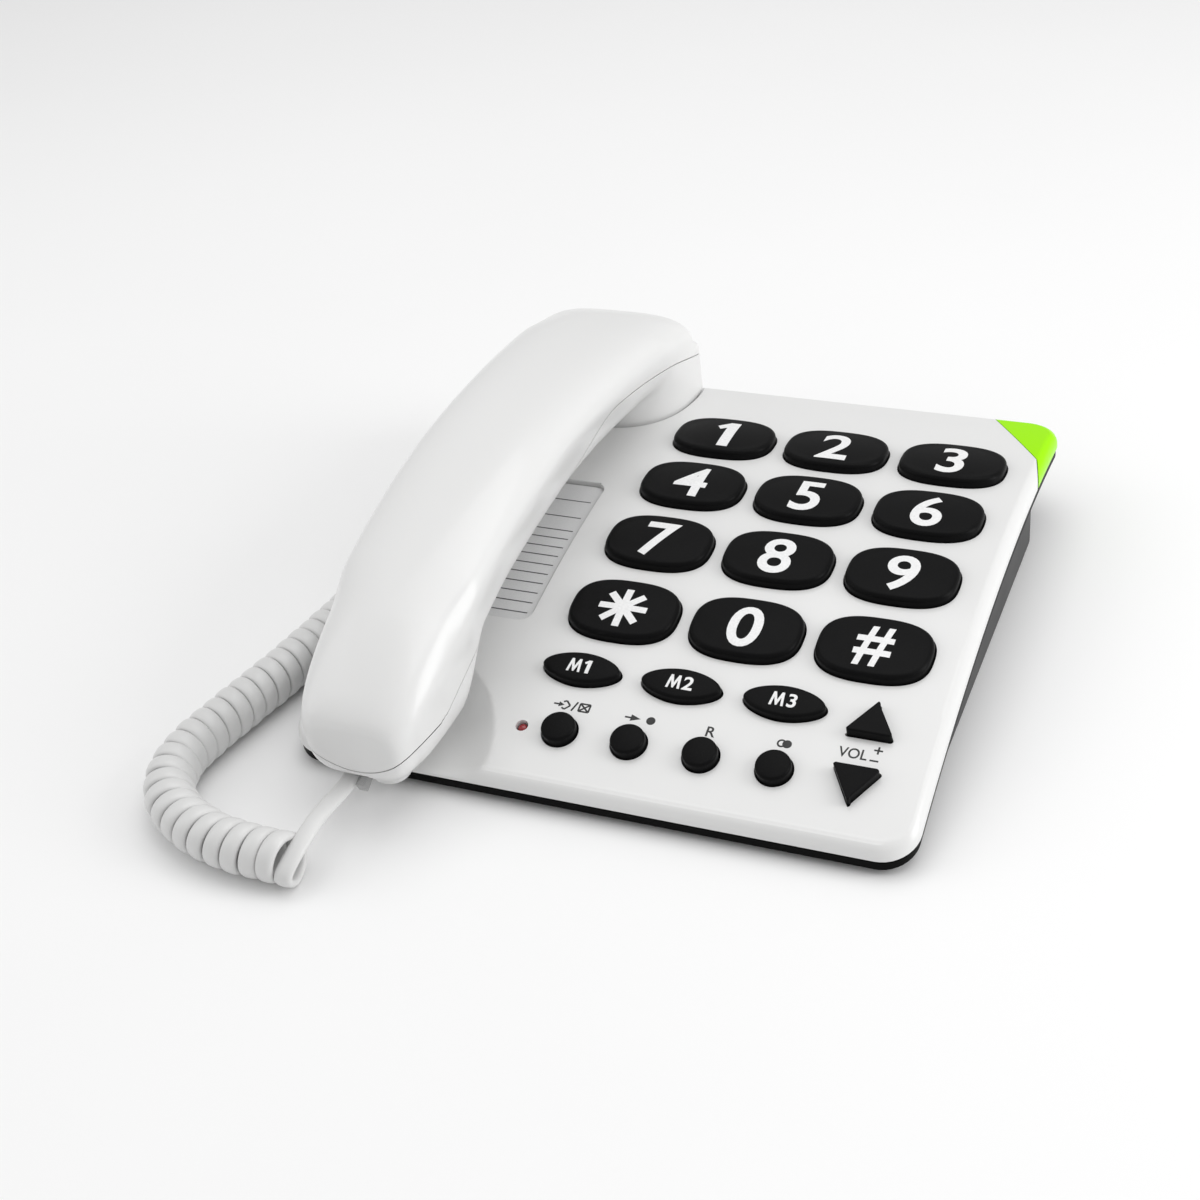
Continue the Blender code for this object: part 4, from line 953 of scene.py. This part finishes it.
def add_card():
    card_x = (WINDOW_X[0] + 0.8, WINDOW_X[1] - 0.8)
    card_y = (WINDOW_Y[0] + 0.8, WINDOW_Y[1] - 0.8)
    glass_x = (WINDOW_X[0] + 0.2, WINDOW_X[1] - 0.2)
    glass_y = (WINDOW_Y[0] + 0.2, WINDOW_Y[1] - 0.4)
    card = strip("card", card_x, card_y, (1.45, 1.15), WINDOW_CORNER - 0.8)
    piece("index_card_sheet", card, "paper", "base", "card_stock", ["index_card"])
    glass = strip("glass", glass_x, glass_y, (0.95, 0.05), WINDOW_CORNER - 0.2)
    piece("card_window_pane", glass, "window", "base", "clear_plastic", ["card_window"])
    places = [2.2, -6.1, -12.7] + [-16.6 - 4.05 * i for i in range(9)]
    lines = []
    for y in places:
        low, high = (card_x[0] + 1.5, y - 0.17), (card_x[1] - 1.5, y + 0.17)
        plan = np.array([low, (high[0], low[1]), high, (low[0], high[1])])
        rings = [lifted(plan, arc_z(plan[:, 1]) - drop) for drop in (1.2, 1.07)]
        lines.append(loft("line", rings))
    piece("index_card_lines", joined("lines", lines), "line_ink", "base", "card_stock")


def add_plunger():
    def cap(shrink):
        return oval(6.8 - shrink, 4.3 - shrink, 3.0, 48)

    stem, top = oval(2.4, 2.0, 3.0, 48), -GAP - 0.2
    rings = [level(stem, -13.0), level(stem, -7.5), level(cap(0.0), -7.0)]
    for drop, inset in quarter_round(1.0, (0, 20, 40, 60, 75, 90)):
        rings.append(level(cap(inset), top - drop))
    mesh = moved(loft("plunger", rings), hook_matrix())
    piece("hook_plunger_cap", mesh, "white", "hook_plunger", "white_plastic", ["hook_plunger"])


def add_led():
    lens = [(0, -5.0), (1.45, -5.0), (1.45, -1.5), (1.3, -1.15), (0.95, -0.85), (0.5, -0.68)]
    mesh = moved(lathe("lens", [*lens, (0, -0.62)], 40), panel_matrix(*LED_PLACE))
    piece("status_led_lens", mesh, "red", "base", "red_lens", ["status_led"])


def add_underside():
    foot = [(0, 0.35), (3.6, 0.35), (3.9, 0.0), (FOOT_RADIUS - 0.5, 0.0)]
    foot += [(FOOT_RADIUS - 0.1, 0.25), (FOOT_RADIUS, 0.6), (FOOT_RADIUS, 2.0), (0, 2.0)]
    for corner in CORNERS:
        name = f"rubber_foot_{corner}"
        x, y, _ = node_middle(name)
        mesh = moved(lathe("foot", foot, 64), Matrix.Translation((x, y, 0)))
        piece(f"{name}_pad", mesh, "rubber", "base", "foot_rubber", [name])
        name = f"casing_screw_{corner}"
        x, y, _ = node_middle(name)
        place = Matrix.Translation((x, y, FLOOR_BOTTOM + 0.15))
        mesh = moved(screw_mesh(CASING_SCREW_LENGTH), place)
        piece(f"{name}_body", mesh, "steel", "base", "steel", [name])


def add_ringer_switch():
    ribs = [box_cut((0.5, 0.5, 2.6), (x, 2.25, 0)) for x in (-1.2, 0.0, 1.2)]
    mesh = combined(box_cut((4.0, 4.6, 2.8), (0, -0.2, 0)), "UNION", *ribs)
    mesh = moved(mesh, Matrix.Translation((SWITCH_X, BODY_REAR - 0.6, SWITCH_Z)))
    name = "ringer_switch"
    piece(f"{name}_knob", mesh, "white", name, "white_plastic", [name])


def screw_mesh(length):
    """A countersunk cross-head screw, head down, its thread cut as rings."""
    profile = [(0, 0), (2.5, 0), (2.7, 0.15), (1.35, 1.4)]
    z = 1.6
    while z < length - 1.2:
        profile += [(1.35, z), (1.05, z + 0.3)]
        z += 0.6
    profile += [(0.9, length - 0.8), (0.3, length), (0, length)]
    body = lathe("screw", profile, 32)
    arms = [box_cut((3.0, 0.6, 2.0), (0, 0, 0)), box_cut((0.6, 3.0, 2.0), (0, 0, 0))]
    return combined(body, "DIFFERENCE", *arms)


# ---------------------------------------------------------------- handset


def crown(share):
    end, power = CROWN_REAR if share > 0 else CROWN_FRONT
    return end + (CROWN_MIDDLE - end) * (1 - abs(share) ** power)


def grip_bottom(along):
    return crown(along / HANDSET_HALF) - GRIP_THICKNESS


def handset_ring(share, inset, count):
    top = crown(share)
    start = CUP_START_REAR if share > 0 else CUP_START_FRONT
    cup = float(smooth_step((abs(share) - start + CUP_BLEND / 2) / CUP_BLEND))
    bottom = (top - GRIP_THICKNESS) * (1 - cup)
    plan_power, end_power, end_half = PLAN_POWER_FRONT, END_POWER_FRONT, MOUTH_HALF_WIDTH
    if share > 0:
        plan_power, end_power, end_half = PLAN_POWER_REAR, END_POWER_REAR, EAR_HALF_WIDTH
    full = GRIP_HALF_WIDTH + (end_half - GRIP_HALF_WIDTH) * abs(share) ** 1.5
    width = full * (1 - abs(share) ** plan_power) ** (1 / plan_power) - inset
    height = (top - bottom) / 2 * (1 - abs(share) ** end_power) ** (1 / end_power) - inset
    section = oval(width, height, SECTION_POWER, count)
    z = (top + bottom) / 2 + section[:, 1]
    front = float(smooth_step((-share - 0.35) / 0.25))
    taper = SIDE_TAPER_REAR + (SIDE_TAPER_FRONT - SIDE_TAPER_REAR) * front
    narrowing = 1 - taper * np.clip((top - z) / 40.0, 0, 1)
    y = np.full(count, share * (HANDSET_HALF - inset))
    return np.column_stack([section[:, 0] * narrowing, y, z])


def handset_body(inset, stations, count):
    shares = np.sin(np.linspace(-math.pi / 2, math.pi / 2, stations)) * 0.995
    return loft("handset_body", [handset_ring(share, inset, count) for share in shares])


def cup_mesh(cup, inset, count):
    half_x, half_y = cup["half"][0] - inset, cup["half"][1] - inset
    low = cup["bottom"] + inset
    steps = [(shrink, low + rise) for shrink, rise in quarter_round(1.6, (0, 30, 60, 90))]
    rings = []
    for shrink, z in [*steps, (0.0, cup["top"])]:
        outline = oval(half_x - shrink, half_y - shrink, cup["power"], count) + cup["centre"]
        outline[:, 1] = np.minimum(outline[:, 1], cup["rear"] - inset - shrink)
        rings.append(level(outline, z))
    return loft("cup", rings)


def seam_height(along, across):
    share = min(max(along / HANDSET_HALF, -1.0), 1.0)
    depth = SEAM_DEPTH + SEAM_DEPTH_GAIN * share**2
    depth += SEAM_GRIP_DROP * float(smooth_step((SEAM_GRIP_START - along) / SEAM_GRIP_START))
    nose = SEAM_NOSE_HEIGHT + SEAM_NOSE_SLOPE * (along + HANDSET_HALF)
    nose += SEAM_NOSE_CURVE * min(abs(across), SEAM_NOSE_WIDE) ** 2
    if along > -HANDSET_HALF / 2:
        return crown(share) - depth
    return max(crown(share) - depth, nose)


def below_seam(offset, stations=161):
    reach = HANDSET_HALF + 8
    across = [40.0, *np.linspace(SEAM_NOSE_WIDE, -SEAM_NOSE_WIDE, 23), -40.0]
    rings = []
    for along in reach * np.sin(np.linspace(-math.pi / 2, math.pi / 2, stations)):
        top = [(x, along, seam_height(along, x) + offset) for x in across]
        rings.append([(-40, along, -20), (40, along, -20), *top])
    mesh = loft("below_seam", rings)
    bm = bmesh.new()
    bm.from_mesh(mesh)
    bmesh.ops.triangulate(bm, faces=bm.faces, quad_method="FIXED")
    bm.to_mesh(mesh)
    bm.free()
    return mesh


def plug_matrix():
    return Matrix.Translation(PLUG_CENTRE) @ Matrix.Rotation(PLUG_TILT, 4, "X")


def handset_solid():
    """The whole handset as one smooth solid, most rounded where the ear cup leaves the grip."""
    body = handset_body(0.0, 181, 144)
    whole = combined(body, "UNION", cup_mesh(EAR_CUP, 0.0, 120), cup_mesh(MOUTH_POD, 0.0, 96))
    whole = remeshed(whole, 0.8)

    def crease(points):
        ear = smooth_step((points[:, 1] - 52) / 8) * smooth_step((100 - points[:, 1]) / 8)
        ear = ear * smooth_step((30 - points[:, 2]) / 8) * smooth_step((points[:, 2] - 2.5) / 3)
        return 0.6 * ear

    return relaxed(whole, [0.5, -0.52] * 6 + [0.4] * 4 + [crease] * 30)


def add_handset():
    frame_matrix = handset_matrix()
    whole = handset_solid()
    inner = handset_body(SHELL, 61, 48)
    to_local = frame_matrix.inverted() @ plug_matrix()
    rooms = []
    for size, centre in PLUG_ROOMS:
        rooms.append(moved(box_cut(size, centre), to_local))
    front = combined(whole.copy(), "INTERSECT", below_seam(-GAP / 2 - 0.02))
    cuts = [cup_mesh(EAR_CUP, SHELL, 60), cup_mesh(MOUTH_POD, SHELL, 60), inner.copy()]
    for ring, count in SOUND_HOLE_RINGS:
        for i in range(count):
            angle = 2 * math.pi * i / count
            hole = lathe("sound_hole", [(0, -4), (0.9, -4), (0.9, 4), (0, 4)], 20)
            place = (ring * math.cos(angle), SOUND_HOLES_Y + ring * math.sin(angle), 0)
            cuts.append(moved(hole, Matrix.Translation(place)))
    for x in VOICE_SLOTS_X:
        hole = prism("voice_slot", oval(0.7, 2.2, 3.0, 24), -3, 5)
        cuts.append(moved(hole, Matrix.Translation((x, MICROPHONE_Y, 0))))
    for _, along in HANDSET_SCREWS:
        sink = lathe("screw_sink", [(0, -3), (3.2, -3), (3.2, 3.2), (0, 3.2)])
        cuts.append(moved(sink, Matrix.Translation((0, along, grip_bottom(along)))))
    front = combined(front, "DIFFERENCE", *cuts, *[room.copy() for room in rooms])
    back = combined(whole, "DIFFERENCE", below_seam(GAP / 2 + 0.02), inner, *rooms)
    for name, mesh in (("handset_front", front), ("handset_back", back)):
        moved(mesh, frame_matrix)
        piece(name, mesh, "white", "handset", "white_plastic", [f"{name}_shell"], 38.0)
    for label, along in HANDSET_SCREWS:
        place = frame_matrix @ Matrix.Translation((0, along, grip_bottom(along) + 1.4))
        name = f"handset_screw_{label}"
        mesh = moved(screw_mesh(HANDSET_SCREW_LENGTH), place)
        piece(f"{name}_body", mesh, "steel", "handset", "steel", [name])


# ---------------------------------------------------------------- cord


def spline(points, step):
    """Evenly spaced points along a Catmull-Rom curve through the given ones."""
    points = np.asarray(points, float)
    points = np.vstack([2 * points[0] - points[1], points, 2 * points[-1] - points[-2]])
    fine = []
    for i in range(1, len(points) - 2):
        a, b, c, d = points[i - 1 : i + 3]
        for t in np.linspace(0, 1, 40, endpoint=False):
            second, third = 2 * a - 5 * b + 4 * c - d, 3 * b - a - 3 * c + d
            fine.append((2 * b + (c - a) * t + second * t**2 + third * t**3) / 2)
    fine.append(points[-2])
    fine = np.array(fine)
    lengths = np.concatenate([[0], np.cumsum(np.linalg.norm(np.diff(fine, axis=0), axis=1))])
    count = max(int(lengths[-1] / step), 2)
    wanted = np.linspace(0, lengths[-1], count + 1)
    return np.column_stack([np.interp(wanted, lengths, fine[:, k]) for k in range(fine.shape[1])])


def bridge(start, start_way, end, end_way, count):
    """Points of a Hermite curve, without its last one."""
    t = np.linspace(0, 1, count, endpoint=False)[:, None]
    start, start_way, end, end_way = map(np.array, (start, start_way, end, end_way))
    near, far = 2 * t**3 - 3 * t**2 + 1, -2 * t**3 + 3 * t**2
    return near * start + (t**3 - 2 * t**2 + t) * start_way + far * end + (t**3 - t**2) * end_way


def coil_points(steps_per_turn=44):
    """Helix round the coil's middle line, with the line's direction at each point."""
    line = spline(COIL_PATH, COIL_PITCH / steps_per_turn)
    way = np.gradient(line, axis=0)
    way /= np.linalg.norm(way, axis=1)[:, None]
    side = np.column_stack([-way[:, 1], way[:, 0]])
    turn = math.radians(270) - 2 * math.pi * np.arange(len(line)) / steps_per_turn
    radius = COIL_RADIUS - CORD_HALF_THICK
    slack = 1 + 0.012 * np.sin(np.arange(len(line)) / steps_per_turn * 2.3)
    out, up = radius * slack * np.cos(turn), radius * slack * np.sin(turn)
    points = np.column_stack([line + side * out[:, None], COIL_RADIUS + 0.1 + up])
    return points, np.column_stack([way, np.zeros(len(way))]), turn


def add_cord():
    """Lead-in from the base's plug, the coil, then two curves that meet at a knee by the plug."""
    points, wide, turn = coil_points()
    # The coil ends where its turn heads for the knee
    stop = len(points) - 1
    while (math.degrees(turn[stop]) - 205) % 360 > 8.3:
        stop -= 1
    points, wide = points[: stop + 1], wide[: stop + 1]
    base_exit = np.array(BASE_PLUG_CENTRE) + (-7.0, 0, 0)
    start_way = (points[1] - points[0]) * 60
    lead_in = bridge(base_exit, (-26.0, 0, 0), points[0], start_way, 60)
    wide_in = np.tile((0.0, -1.0, 0.0), (60, 1))
    plug_end = np.array(plug_matrix() @ Vector((0, -6.6, 0)))
    plug_way = np.array(plug_matrix().to_3x3() @ Vector((0, 1, 0)))
    end_way = (points[-1] - points[-2]) / np.linalg.norm(points[-1] - points[-2])
    knee, knee_way = np.array(KNEE), np.array(KNEE_WAY)
    lead_a = bridge(points[-1], end_way * 17, knee, knee_way * 15, 40)
    lead_b = bridge(knee, knee_way * 22, plug_end, plug_way * 16, 50)
    path = np.vstack([lead_in, points, lead_a[1:], lead_b, plug_end])
    tail = len(path) - len(lead_in) - len(points)
    wide_out = np.tile((1.0, 0.0, 0.0), (tail, 1))
    wide = np.vstack([wide_in, wide, wide_out])
    along = np.gradient(path, axis=0)
    along /= np.linalg.norm(along, axis=1)[:, None]
    wide = wide - along * (wide * along).sum(axis=1)[:, None]
    wide /= np.linalg.norm(wide, axis=1)[:, None]
    thick = np.cross(along, wide)
    section = oval(CORD_HALF_WIDE, CORD_HALF_THICK, 2.5, 20)
    rings = [p + section[:, :1] * w + section[:, 1:] * n for p, w, n in zip(path, wide, thick)]
    finish = {"replaces": ["coil_cord"], "sharp": 60.0}
    cord = piece("coil_cord_wound", loft("cord", rings), "cord", None, "cord_jacket", **finish)
    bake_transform(cord)


# ---------------------------------------------------------------- prints


def bar(x0, y0, x1, y1):
    """A straight stroke of the panel's print."""
    way = np.array((x1 - x0, y1 - y0), float)
    way /= np.linalg.norm(way)
    side = np.array((-way[1], way[0])) * INK_WIDTH / 2
    a, b = np.array((x0, y0)), np.array((x1, y1))
    return [a - side, b - side, b + side, a + side]


def disc(x, y, radius, count=28):
    return oval(radius, radius, 2.0, count) + (x, y)


def star_outline(radius, width, arms=8):
    points = []
    inner = width / 2 / math.sin(math.pi / arms)
    for k in range(arms):
        angle = 2 * math.pi * k / arms + math.pi / 2
        way = np.array((math.cos(angle), math.sin(angle)))
        side = np.array((-way[1], way[0])) * width / 2
        points += [way * radius - side, way * radius + side]
        between = angle + math.pi / arms
        points.append(np.array((math.cos(between), math.sin(between))) * inner)
    return points


ONE = [
    (-0.02, 0), (0.145, 0), (0.145, 0.70), (0.0, 0.70), (-0.17, 0.56), (-0.11, 0.47), (-0.02, 0.53),
]
BIG_M = [
    (-0.31, 0), (-0.20, 0), (-0.155, 0.42), (-0.035, 0.02), (0.035, 0.02), (0.155, 0.42),
    (0.20, 0), (0.31, 0), (0.23, 0.70), (0.12, 0.70), (0.0, 0.28), (-0.12, 0.70), (-0.23, 0.70),
]


def flat_shapes(shapes):
    """Thin slabs from outlines, between Z = -1 and 1."""
    return joined("shapes", [prism("shape", shape, -1.0, 1.0) for shape in shapes])


def text_shape(body, offset):
    curve = bpy.data.curves.new("text", "FONT")
    curve.body = body
    curve.size = 1.0
    curve.offset = offset
    curve.extrude = 1.0
    curve.resolution_u = 6
    obj = bpy.data.objects.new("text", curve)
    bpy.context.scene.collection.objects.link(obj)
    mesh = evaluated(obj)
    bm = bmesh.new()
    bm.from_mesh(mesh)
    bmesh.ops.remove_doubles(bm, verts=bm.verts, dist=0.0005)
    bm.to_mesh(mesh)
    bm.free()
    return mesh


def fitted(mesh, height, centre, wide=1.0):
    """Scales a flat mesh to a height and centres its box in plan."""
    points = points_of(mesh)
    low, high = points[:, :2].min(axis=0), points[:, :2].max(axis=0)
    points[:, :2] = (points[:, :2] - (low + high) / 2) * height / (high[1] - low[1])
    points[:, 0] *= wide
    points[:, :2] += centre
    set_points(mesh, points)
    return mesh


def sliced(mesh, step=1.2):
    """Cuts a flat mesh by a grid of planes, so that it can follow a curved surface.

    The grid is shifted until the cut mesh is closed.
    """
    reach = np.abs(points_of(mesh)[:, :2]).max()
    shifts = (0.0137, 0.1253, 0.2371, 0.3489, 0.4603, 0.5719)
    for shift in shifts:
        bm = bmesh.new()
        bm.from_mesh(mesh)
        for normal in ((1, 0, 0), (0, 1, 0)):
            for place in np.arange(-reach - step, reach, step):
                parts = bm.verts[:] + bm.edges[:] + bm.faces[:]
                spot = Vector(normal) * float(place + shift)
                bmesh.ops.bisect_plane(bm, geom=parts, plane_co=spot, plane_no=normal, dist=0.0001)
        if shift == shifts[-1] or all(len(edge.link_faces) == 2 for edge in bm.edges):
            break
        bm.free()
    bm.to_mesh(mesh)
    bm.free()
    return mesh


def draped(mesh, surface, low, high):
    """Lays a flat mesh over a surface: it reaches low under the surface and high above it."""
    points = points_of(sliced(mesh))
    base = surface(points[:, :2])
    points[:, 2] = np.where(points[:, 2] > 0, base + high, base - low)
    set_points(mesh, points)
    return mesh


def add_key_labels():
    heights = {"star": 14.6, "hash": 14.7}
    for name, place, outline, height, shoulder, rise in KEYS:
        if name.startswith("key_"):
            label = name[4:]
            if label == "1":
                mesh = flat_shapes([ONE])
            elif label == "star":
                mesh = flat_shapes([star_outline(1.0, 0.30)])
            else:
                mesh = text_shape("#" if label == "hash" else label, 0.018)
            wide = 0.85 if label == "hash" else 1.0
            mesh = fitted(mesh, heights.get(label, LABEL_HEIGHT), LABEL_CENTRE, wide)
        elif name.startswith("memory_key"):
            digit = text_shape(name[-1], 0.02) if name[-1] != "1" else flat_shapes([ONE])
            middle = 1.9 if name[-1] == "1" else 2.4
            letter = fitted(flat_shapes([BIG_M]), MEMORY_LABEL_HEIGHT, (-1.7, MEMORY_LABEL_Y))
            digit = fitted(digit, MEMORY_LABEL_HEIGHT, (middle, MEMORY_LABEL_Y))
            mesh = joined(name, [letter, digit])
        else:
            continue
        edge = outline(shoulder)
        mesh = draped(mesh, lambda plan: crown_height(plan, edge, height, rise), 0.25, 0.045)
        piece(f"{name}_label", moved(mesh, panel_matrix(*place)), "white_ink", name, "key_plastic")


def panel_print(name, shapes, place, size=None, wide=1.0):
    """Ink on the panel, drawn about a place given as x and distance along the panel."""
    mesh = shapes if isinstance(shapes, bpy.types.Mesh) else flat_shapes(shapes)
    if size:
        mesh = fitted(mesh, size, (0, 0), wide)
    mesh = draped(mesh, lambda plan: -plan[:, 1] ** 2 / (2 * ARC_RADIUS), 0.2, 0.03)
    piece(name, moved(mesh, panel_matrix(*place)), "black_ink", "base", "white_plastic")


def ring_shapes(x, y, radius, count=24):
    inner, outer = disc(x, y, radius - INK_WIDTH, count), disc(x, y, radius, count)
    shapes = []
    for i in range(count):
        j = (i + 1) % count
        shapes.append([inner[i], outer[i], outer[j], inner[j]])
    return shapes


def add_prints():
    store = [bar(-5.4, 0.0, -2.8, 0.0), [(-3.9, 0.85), (-2.2, 0.0), (-3.9, -0.85)]]
    store += [bar(-1.9, 1.45, -0.5, 0.0), bar(-0.5, 0.0, -1.9, -1.45)]
    store += [bar(-1.9, 1.45, -2.8, 1.0), bar(-1.9, -1.45, -2.8, -1.0)]
    store += [bar(0.3, -1.6, 1.4, 1.6)]
    store += [bar(2.3, 1.3, 5.3, 1.3), bar(2.3, -1.3, 5.3, -1.3), bar(2.3, -1.3, 2.3, 1.3)]
    store += [bar(5.3, -1.3, 5.3, 1.3), bar(2.3, -1.3, 5.3, 1.3), bar(2.3, 1.3, 5.3, -1.3)]
    panel_print("print_store", store, (-40.2, -80.7))
    redial = [bar(-3.7, 0, -1.4, 0), [(-2.0, 1.1), (0.9, 0.0), (-2.0, -1.1)], disc(3.9, 0.0, 1.3)]
    panel_print("print_redial", redial, (-20.4, -81.1))
    panel_print("print_recall", text_shape("R", 0.015), (1.0, -81.2), 3.3)
    mute = ring_shapes(-0.75, 0, 1.3) + [disc(0.8, 0.0, 1.3)]
    panel_print("print_mute", mute, (21.6, -80.9))
    panel_print("print_volume", text_shape("VOL", 0.012), (40.3, -80.1), 3.3, 0.9)
    plus = [bar(-1.2, 0, 1.2, 0), bar(0, 0.21, 0, 1.2), bar(0, -1.2, 0, -0.21)]
    panel_print("print_plus", plus, (46.7, -78.0))
    panel_print("print_minus", [bar(-1.2, 0, 1.2, 0)], (46.3, -81.4))


# ---------------------------------------------------------------- carried-over nodes


def dress_nodes():
    finish = {
        "steel": ("ballast_plate", "handset_weight", "microphone"),
        "board": ("circuit_board",),
        "silicone": ("key_mat",),
        "plug": ("base_plug", "handset_plug"),
        "dark": (
            "hook_switch", "ringer_speaker", "line_jack", "handset_cord_jack", "handset_jack",
            "receiver_capsule",
        ),
    }
    for material, names in finish.items():
        for name in names:
            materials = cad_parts[name].data.materials
            materials.clear()
            materials.append(MATERIALS[material])


def add_contacts():
    """Gold spring wires in the line jack and blades on the handset's plug."""
    places = [(LINE_JACK_X - 1.5 + i, BODY_REAR - 4.5, LINE_JACK_Z + 3.4) for i in range(4)]
    wires = [box_cut((0.45, 7.0, 0.45), place) for place in places]
    piece("line_jack_contacts", joined("contacts", wires), "gold", "base", "component_plastic")
    blades = [box_cut((0.35, 3.4, 1.4), (-1.5 + i, 3.8, 2.75)) for i in range(4)]
    mesh = moved(joined("blades", blades), plug_matrix())
    piece("handset_plug_blades", mesh, "gold", "handset", "clear_plastic")


# ---------------------------------------------------------------- stage


def add_stage():
    made = Nodes("pale_floor")
    cloudy = made.spread(made.noise(4.0, 3.0), 0.0, 1.0)
    made.set("Base Color", made.shade(cloudy, (0.90, 0.90, 0.90), (0.885, 0.885, 0.885)))
    made.set("Roughness", 0.6)
    made.set("Specular IOR Level", 0.2)
    mesh = bpy.data.meshes.new("floor")
    mesh.from_pydata([(-6, -6, 0), (6, -6, 0), (6, 6, 0), (-6, 6, 0)], [], [(0, 1, 2, 3)])
    mesh.materials.append(made.material)
    floor = bpy.data.objects.new("floor", mesh)
    bpy.context.scene.collection.objects.link(floor)


def add_light(name, place, target, size, power):
    data = bpy.data.lights.new(name, "AREA")
    data.shape = "RECTANGLE"
    data.size, data.size_y = size
    data.energy = power
    lamp = bpy.data.objects.new(name, data)
    lamp.location = place
    lamp.rotation_mode = "QUATERNION"
    lamp.rotation_quaternion = (Vector(target) - Vector(place)).to_track_quat("-Z", "Y")
    bpy.context.scene.collection.objects.link(lamp)


def add_lights():
    world = bpy.data.worlds.new("studio")
    bpy.context.scene.world = world
    world.use_nodes = True
    inputs = world.node_tree.nodes["Background"].inputs
    inputs["Color"].default_value = (1.0, 1.0, 1.0, 1.0)
    inputs["Strength"].default_value = 0.60
    add_light("top_softbox", (0.1, 0.25, 1.15), (0, 0, 0), (1.3, 0.9), 5.4)
    add_light("left_softbox", (-0.95, -0.3, 0.6), (0, 0, 0.02), (0.7, 1.1), 2.0)
    add_light("right_softbox", (1.05, 0.1, 0.42), (0, 0, 0.02), (0.5, 0.9), 5.6)


def add_camera():
    """The camera's place and turn in the design frame."""
    data = bpy.data.cameras.new("camera")
    data.lens, data.sensor_width = 58.13, 36.0
    data.clip_start, data.clip_end = 0.01, 20.0
    camera = bpy.data.objects.new("camera", data)
    right = Vector((0.92332, 0.37265, -0.09278))
    down = Vector((0.14102, -0.55374, -0.82066))
    ahead = Vector((-0.3572, 0.74465, -0.56383))
    turn = Matrix((right, -down, -ahead)).transposed().to_4x4()
    place = ORIGIN + Vector((155.50, -461.62, 344.87)) * MM
    camera.matrix_world = Matrix.Translation(place) @ turn
    bpy.context.scene.collection.objects.link(camera)
    bpy.context.scene.camera = camera
    bpy.context.scene.view_settings.view_transform = "Standard"


def main():
    wells = add_keys()
    add_upper_casing(wells)
    add_corner_cap()
    add_lower_casing()
    add_card()
    add_plunger()
    add_led()
    add_underside()
    add_ringer_switch()
    add_handset()
    add_cord()
    add_key_labels()
    add_prints()
    dress_nodes()
    add_contacts()
    add_stage()
    add_lights()
    add_camera()


main()
bpy.context.view_layer.update()
